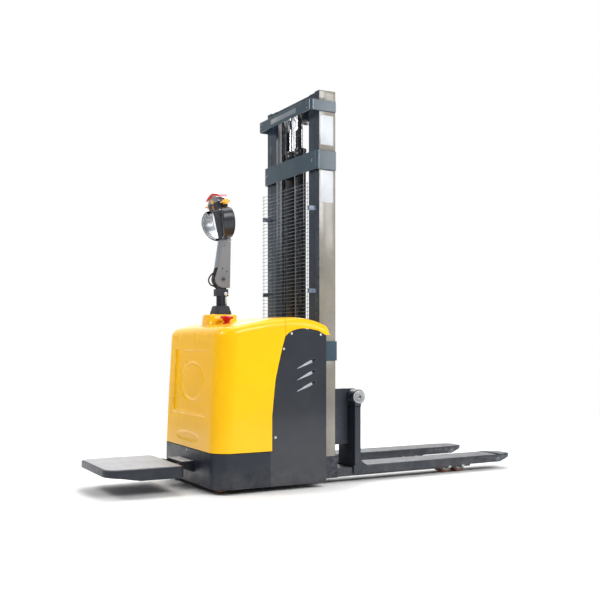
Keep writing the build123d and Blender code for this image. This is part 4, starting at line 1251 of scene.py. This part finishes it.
# centre body flares from the arm into the pod
superloft("head_body", [(-6, 27.5, 26, -1, 7), (0, 29.8, 28, -1, 7), (10, 31, 27, 0, 6), (26, 37.5, 22, 0, 5), (46, 45, 18.5, 0, 4.5), (66, 49.5, 17.6, 0, 4.5), (100, 50, 17.4, 0, 4.5), (140, 50, 17.8, 0, 4.5), (158, 52, 19, 0, 4.5), (166, 58, 21, 0, 4.5)],
          slot="head_silver", mat="loop_black", nodes=("tiller_head",))
superloft("head_pod", [(158, 56, 16, 0, 4.0), (161, 70, 21, 0, 4.5), (165, 79, 24.6, 0, 5), (172, 84, 26.4, 0, 5), (190, 85.8, 26.9, 0, 5), (206, 85.2, 26.9, 0, 5), (216, 81, 26.2, 0, 5), (224, 70, 25, 0, 4.5), (231, 52, 22.5, 0, 4.2), (235.2, 34, 18, 0, 4), (236, 20, 10, 0, 3)],
          slot="head_silver", mat="loop_black")
# silver cap over the pod's top: painted highlight where the top light falls; silver lower chin
superloft("head_top_painted_highlight", [(208.5, 85.4, 27.1, 0, 5), (213, 84.0, 27.0, 0, 5), (219, 78.2, 26.3, 0, 5), (225, 69, 25.4, 0, 4.5), (231, 53, 23.2, 0, 4.2), (234.5, 38, 19, 0, 4)], slot="head_silver", mat="head_silver", caps=False)
superloft("head_chin", [(-6.5, 28.4, 27, -1, 7), (-3, 30.4, 28.9, -1, 7), (1, 31.2, 29.2, -1, 7), (5, 31.8, 28.8, -0.8, 6.5), (9, 32.6, 28.0, -0.4, 6)], slot="head_silver", mat="head_silver", caps=False)

LO = [(40.8, 8), (70, 14), (104, 32), (132, 62), (147, 98), (148, 128), (138, 152), (120, 168), (98, 174), (84, 174.5)]
LI = [(44, 22), (68, 28), (95, 44), (119, 69), (132, 100), (133, 124), (126, 142), (112, 154), (96, 160), (84, 160)]


def resample(pts, n):
    P = np.array(pts, float)
    # Catmull-Rom through the points
    out = []
    Q = np.vstack([2 * P[0] - P[1], P, 2 * P[-1] - P[-2]])
    for i in range(1, len(Q) - 2):
        for t in np.linspace(0, 1, 12, endpoint=False):
            a, b, c, d = Q[i - 1], Q[i], Q[i + 1], Q[i + 2]
            out.append(0.5 * ((2 * b) + (-a + c) * t + (2 * a - 5 * b + 4 * c - d) * t * t + (-a + 3 * b - 3 * c + d) * t ** 3))
    out.append(P[-1])
    out = np.array(out)
    L = np.concatenate([[0], np.cumsum(np.linalg.norm(np.diff(out, axis=0), axis=1))])
    s = np.linspace(0, L[-1], n)
    return np.stack([np.interp(s, L, out[:, k]) for k in range(2)], 1)


LS_H = [-4, 12, 40, 75, 110, 140, 168, 182]
LS_T = [-20, -30, -43, -51, -53, -48, -36, -30]


def hand_loop(side):
    """A wide moulded band bent into a loop and bowed towards the operator: dark outside, silver lining inside."""
    n = 64
    O, I = resample(LO, n), resample(LI, n)
    n_c = 36
    rows_o, rows_i = [], []
    for i in range(n):
        o_, i_ = O[i], I[i]
        c = (o_ + i_) / 2
        hw = np.linalg.norm(o_ - i_) / 2
        d = (o_ - i_) / (2 * hw)
        h = c[1]
        t0 = float(np.interp(h, LS_H, LS_T)) + 0.6
        t1 = 17.5 - 2.0 * sstep(120, 175, h)
        tc, ht = (t0 + t1) / 2, (t1 - t0) / 2
        ro, ri = [], []
        e = 2 / 3.4
        for k in range(n_c + 1):
            a = math.pi * (-0.5 + k / n_c) * 1.02
            w, t = math.copysign(abs(math.cos(a)) ** e, math.cos(a)), math.copysign(abs(math.sin(a)) ** (2 / 7.0), math.sin(a))
            p = c + d * hw * w
            ro.append(H(side * p[0], p[1], tc + ht * t))
        for k in range(n_c + 1):
            a = math.pi * (0.5 + k / n_c)
            w, t = math.copysign(abs(math.cos(a)) ** e, math.cos(a)), math.copysign(abs(math.sin(a)) ** (2 / 7.0), math.sin(a))
            p = c + d * (hw - 0.4) * w
            ri.append(H(side * p[0], p[1], tc + (ht - 0.4) * t))
        rows_o.append(ro)
        rows_i.append(ri)
    nm = "l" if side > 0 else "r"
    o = grid("loop_shell_" + nm, mm(np.array(rows_o).reshape(-1, 3)).reshape(n, n_c + 1, 3), ang=70)
    sm = o.modifiers.new("thick", "SOLIDIFY")
    sm.thickness = 0.0014
    sm.offset = 0
    if side > 0:
        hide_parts("hand_loops")
    finish_piece(o, "tiller", "loop_black")
    o = grid("loop_lining_" + nm, mm(np.array(rows_i).reshape(-1, 3)).reshape(n, n_c + 1, 3), ang=70)
    sm = o.modifiers.new("thick", "SOLIDIFY")
    sm.thickness = 0.0014
    sm.offset = 0
    finish_piece(o, "tiller", "head_silver", "loop_silver")


hand_loop(1)
hand_loop(-1)

# thumb wheels: ribbed knobs with a lever tab
tcx, tcz = HO[0] - 200 * math.sin(LEAN), HO[2] + 200 * math.cos(LEAN)
tp = []
for s in (1, -1):
    n = 60
    verts, faces = [], []
    prof = [(0.2, 88.4), (12.4, 88.4), (14.2, 89.6), (15, 92), (15, 113.5), (14, 116.6), (11, 117.9), (5.2, 118), (0.2, 117.4)]
    for i in range(n):
        t = 2 * math.pi * i / n
        rib = 0.55 if i % 3 == 0 else 0.0
        for r, h in prof:
            rr = r - (rib if r > 13 else 0.0)
            verts.append((tcx + rr * math.cos(t), s * h, tcz + rr * math.sin(t)))
    m = len(prof)
    for i in range(n):
        k = (i + 1) % n
        for j in range(m - 1):
            faces.append((i * m + j, i * m + j + 1, k * m + j + 1, k * m + j))
    tp.append((mm(verts), faces))
    for sg in (1, -1):
        rows = []
        for t_, w in ((12.0, 6.2), (17, 5.6), (21, 5.2), (23.2, 4.2), (24.0, 2.6)):
            r = []
            for i in range(20):
                a = 2 * math.pi * i / 20
                c, q = math.cos(a), math.sin(a)
                yy = 103 + 14.2 * math.copysign(abs(c) ** 0.5, c)
                r.append(H(s * yy, 200 + w * 0.9 * math.copysign(abs(q) ** 0.7, q), sg * t_))
            rows.append(r)
        v = [p for r in rows for p in r]
        f = []
        for i in range(len(rows) - 1):
            for j in range(20):
                k = (j + 1) % 20
                f.append((i * 20 + j, i * 20 + k, (i + 1) * 20 + k, (i + 1) * 20 + j))
        f.append(tuple(range(80, 100)))
        tp.append((mm(v), f))
o = multi("thumb_knobs", tp, 35)
finish_piece(o, BODY["thumb_wheels"], "button_yellow", None, ("thumb_wheels",))

# belly switch: a curved red cap over the head
bo = resample([(-100, 230.5), (-84, 240), (-58, 250), (-28, 258), (0, 260.4), (28, 258), (58, 250), (84, 240), (100, 230.5)], 48)
bi = resample([(-96, 226.5), (-80, 232), (-55, 238), (-28, 244.5), (0, 246.5), (28, 244.5), (55, 238), (80, 232), (96, 226.5)], 48)
rows = []
for i in range(48):
    c, d = (bo[i] + bi[i]) / 2, (bo[i] - bi[i]) / 2
    endk = min(1.0, 0.35 + 0.65 * math.sin(math.pi * min(i, 47 - i) / 12) if min(i, 47 - i) < 6 else 1.0)
    r = []
    for k in range(32):
        a = 2 * math.pi * k / 32
        e = 2 / 4.0
        w, t = math.copysign(abs(math.sin(a)) ** e, math.sin(a)), math.copysign(abs(math.cos(a)) ** e, math.cos(a))
        p = c + d * w * endk
        r.append(H(p[0], p[1], 21.8 * t * (0.9 + 0.1 * endk)))
    rows.append(r)
v = [p for r in rows for p in r]
f = []
for i in range(47):
    for j in range(32):
        k = (j + 1) % 32
        f.append((i * 32 + j, i * 32 + k, (i + 1) * 32 + k, (i + 1) * 32 + j))
f += [tuple(range(32))[::-1], tuple(range(47 * 32, 48 * 32))]
o = multi("belly_cap", [(mm(v), f)], 45)
finish_piece(o, BODY["belly_switch"], "button_red", None, ("belly_switch",))


def key(name, node, slot, h0, h1, hy, t0, t1, crown):
    n, rows = 40, []
    for q, sc in ((0.0, 1.0), (0.45, 1.0), (0.72, 0.985), (0.88, 0.94), (0.97, 0.84), (1.0, 0.66), (1.0, 0.3)):
        r = []
        for i in range(n):
            a = 2 * math.pi * i / n
            c, s = math.cos(a), math.sin(a)
            e = 2 / 5.0
            yy = hy * sc * math.copysign(abs(c) ** e, c)
            hh = (h0 + h1) / 2 + (h1 - h0) / 2 * sc * math.copysign(abs(s) ** e, s)
            r.append(H(yy, hh, t1 + (t0 - t1) * q + crown * (yy / hy) ** 2))
        rows.append(r)
    v = [p for r in rows for p in r]
    f = []
    for i in range(len(rows) - 1):
        for j in range(n):
            k = (j + 1) % n
            f.append((i * n + j, i * n + k, (i + 1) * n + k, (i + 1) * n + j))
    f.append(tuple(range((len(rows) - 1) * n, len(rows) * n)))
    f.append(tuple(range(n))[::-1])
    o = multi(name, [(mm(v), f)], 45)
    finish_piece(o, BODY[node], slot, None, (node,))


key("horn_key", "horn_button", "button_yellow", 203.6, 224.4, 12.5, -31.0, -21.5, 0.4)
key("rocker_key", "lift_rocker", "button_brown", 171.4, 195.6, 15.9, -30.0, -21.5, -0.9)


# ------------------------------------------------------------------ cables
def cable(name, pts, dia, body, node):
    cu = bpy.data.curves.new(name, "CURVE")
    cu.dimensions = "3D"
    cu.resolution_u = 16
    cu.bevel_depth = dia / 2
    cu.bevel_resolution = 6
    cu.use_fill_caps = True
    sp_ = cu.splines.new("NURBS")
    sp_.points.add(len(pts) - 1)
    for p, q in zip(sp_.points, pts):
        p.co = (*V(*q), 1.0)
    sp_.order_u = 3
    sp_.use_endpoint_u = True
    o = link(bpy.data.objects.new(name, cu))
    o.data.materials.append(MATS["hose_rubber"])
    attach(o, body)
    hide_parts(node)
    return o


def cable_tube(name, pts, dia, node):
    """The arm's cable as a tube round its own smooth line."""
    cu = bpy.data.curves.new(name + "_line", "CURVE")
    cu.dimensions = "3D"
    cu.resolution_u = 12
    sp_ = cu.splines.new("NURBS")
    sp_.points.add(len(pts) - 1)
    for p, q in zip(sp_.points, pts):
        p.co = (*V(*q), 1.0)
    sp_.order_u = 3
    sp_.use_endpoint_u = True
    tmp = link(bpy.data.objects.new(name + "_line", cu))
    bpy.context.view_layer.update()
    line = bpy.data.meshes.new_from_object(tmp)
    cu.bevel_depth = dia / 2
    cu.bevel_resolution = 5
    cu.use_fill_caps = True
    bpy.context.view_layer.update()
    me = bpy.data.meshes.new_from_object(tmp)
    bpy.data.objects.remove(tmp)
    for p in me.polygons:
        p.use_smooth = True
    me.materials.clear()
    o = link(bpy.data.objects.new(name, me))
    o.data.materials.append(MATS["hose_rubber"])
    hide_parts(node)
    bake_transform(o)


CAB = [(-443, 0, 1160), (-460, 0, 1135), (-491, 0, 1116), (-507, 0, 1086), (-493, 0, 1060), (-470, 0, 1056), (-458, 0, 1043.5)]
cable_tube("control_cable_run", CAB, 0.008, "control_cable")
HOSE = [(-345, 200, 430.3), (-349, 200, 505), (-351, 200, 580), (-338, 200, 628), (-296, 200, 642), (-215, 192, 648), (-135, 164, 650), (-78, 108, 646), (-42, 58, 641), (-6.9, 52, 640)]
cable("lift_hose_run", HOSE, 0.014, "chassis", "lift_hose")

# ------------------------------------------------------------------ platform
dress("platform_deck", "chassis_grey", width=0.0015, seg=2)
dress("platform_mat", "mat_grey", width=0.0010, seg=2)
dress("platform_bracket", "bracket_grey", "chassis_grey", width=0.0012, seg=2)
v, f = boxmesh((-695 + SX) / 1000, (-629 + SX) / 1000, -0.098, 0.098, 0.1428, 0.1441, 0.0004)
o = multi("hinge_cover_plate", [(v, f)], 30)
finish_piece(o, "chassis", "bracket_grey", "bracket_grey")
parts = []
for x in (-682, -642):
    for y in (-80, 0, 80):
        parts.append(lathe_mesh([(a / 1000, b / 1000) for a, b in rounded([(7.2, 143.8), (6.6, 145.4), (3.2, 146.0), (2.9, 145.2), (0.01, 145.2)], 0.5, 2)], V(x, y, 0), "z", 24))
o = multi("hinge_plate_screws", parts, 40)
finish_piece(o, "chassis", "steel", "screw_zinc")
dress("platform_pin", "steel", width=0.0008, seg=2)

# ------------------------------------------------------------------ floor, light, camera
fl = bpy.data.meshes.new("floor")
s = 4.4
N = 8
fv = [(-s + 2 * s * i / N, -s + 2 * s * j / N, -0.0005) for j in range(N + 1) for i in range(N + 1)]
ff = [(j * (N + 1) + i, j * (N + 1) + i + 1, (j + 1) * (N + 1) + i + 1, (j + 1) * (N + 1) + i) for j in range(N) for i in range(N)]
fl.from_pydata(fv, [], ff)
floor = link(bpy.data.objects.new("floor", fl))
FM = Mat("floor_pale")
FM.l(FM.mix(FM.remap(FM.noise(1.2, 3.0), 0.3, 0.7, 0.0, 1.0), lin("#F4F4F4"), lin("#F8F8F8")), FM.b.inputs["Base Color"])
FM.l(FM.remap(FM.noise(40.0, 3.0), 0.3, 0.7, 0.75, 0.85), FM.b.inputs["Roughness"])
FM.b.inputs["Specular IOR Level"].default_value = 0.1
fl.materials.append(FM.m)

w = bpy.data.worlds.new("studio")
bpy.context.scene.world = w
w.use_nodes = True
bg = w.node_tree.nodes["Background"]
wt = w.node_tree
wc = wt.nodes.new("ShaderNodeTexCoord")
wd = wt.nodes.new("ShaderNodeVectorMath")
wd.operation = "DOT_PRODUCT"
wd.inputs[1].default_value = (0.477, 0.879, 0.0)
wt.links.new(wc.outputs["Generated"], wd.inputs[0])
wr = wt.nodes.new("ShaderNodeMapRange")
wr.interpolation_type = "SMOOTHSTEP"
wr.inputs["From Min"].default_value = 0.58
wr.inputs["From Max"].default_value = 0.86
wr.inputs["To Min"].default_value = 0.30
wr.inputs["To Max"].default_value = 1.0
wt.links.new(wd.outputs["Value"], wr.inputs["Value"])
bg.inputs[0].default_value = (1.0, 1.0, 1.0, 1.0)
wt.links.new(wr.outputs["Result"], bg.inputs[1])


def area(name, loc, target, size, power, col=(1, 1, 1), size_y=None):
    L = bpy.data.lights.new(name, "AREA")
    L.energy = power
    L.color = col
    L.shape = "RECTANGLE"
    L.size = size
    L.size_y = size_y or size
    o = link(bpy.data.objects.new(name, L))
    o.location = loc
    o.rotation_euler = (Vector(target) - Vector(loc)).to_track_quat("-Z", "Y").to_euler()
    return o


area("key", (0.4, -4.4, 3.4), (0, 0, 0.7), 2.2, 135)
area("top", (0.2, 0.4, 4.6), (0, 0, 0.6), 3.0, 130)
area("side_soft", (2.4, -3.6, 2.9), (0, -0.3, 1.9), 1.6, 55, size_y=2.2)
area("front_fill", (-3.6, 0.6, 3.4), (-0.6, 0, 0.6), 1.0, 62)
area("floor_wash", (3.0, 5.4, 5.2), (1.9, 3.7, 0), 5.0, 420)

cam = bpy.data.cameras.new("camera")
cam.lens = 52.87
cam.sensor_width = 36.0
cam.shift_y = 0.0697
cam.clip_end = 60
co = link(bpy.data.objects.new("camera", cam))
co.location = (-2.4258, -4.3612, 0.7578)
co.rotation_euler = (math.pi / 2, 0, math.radians(-28.514))
bpy.context.scene.camera = co
bpy.context.scene.view_settings.view_transform = "Standard"
bpy.context.scene.view_settings.look = "None"
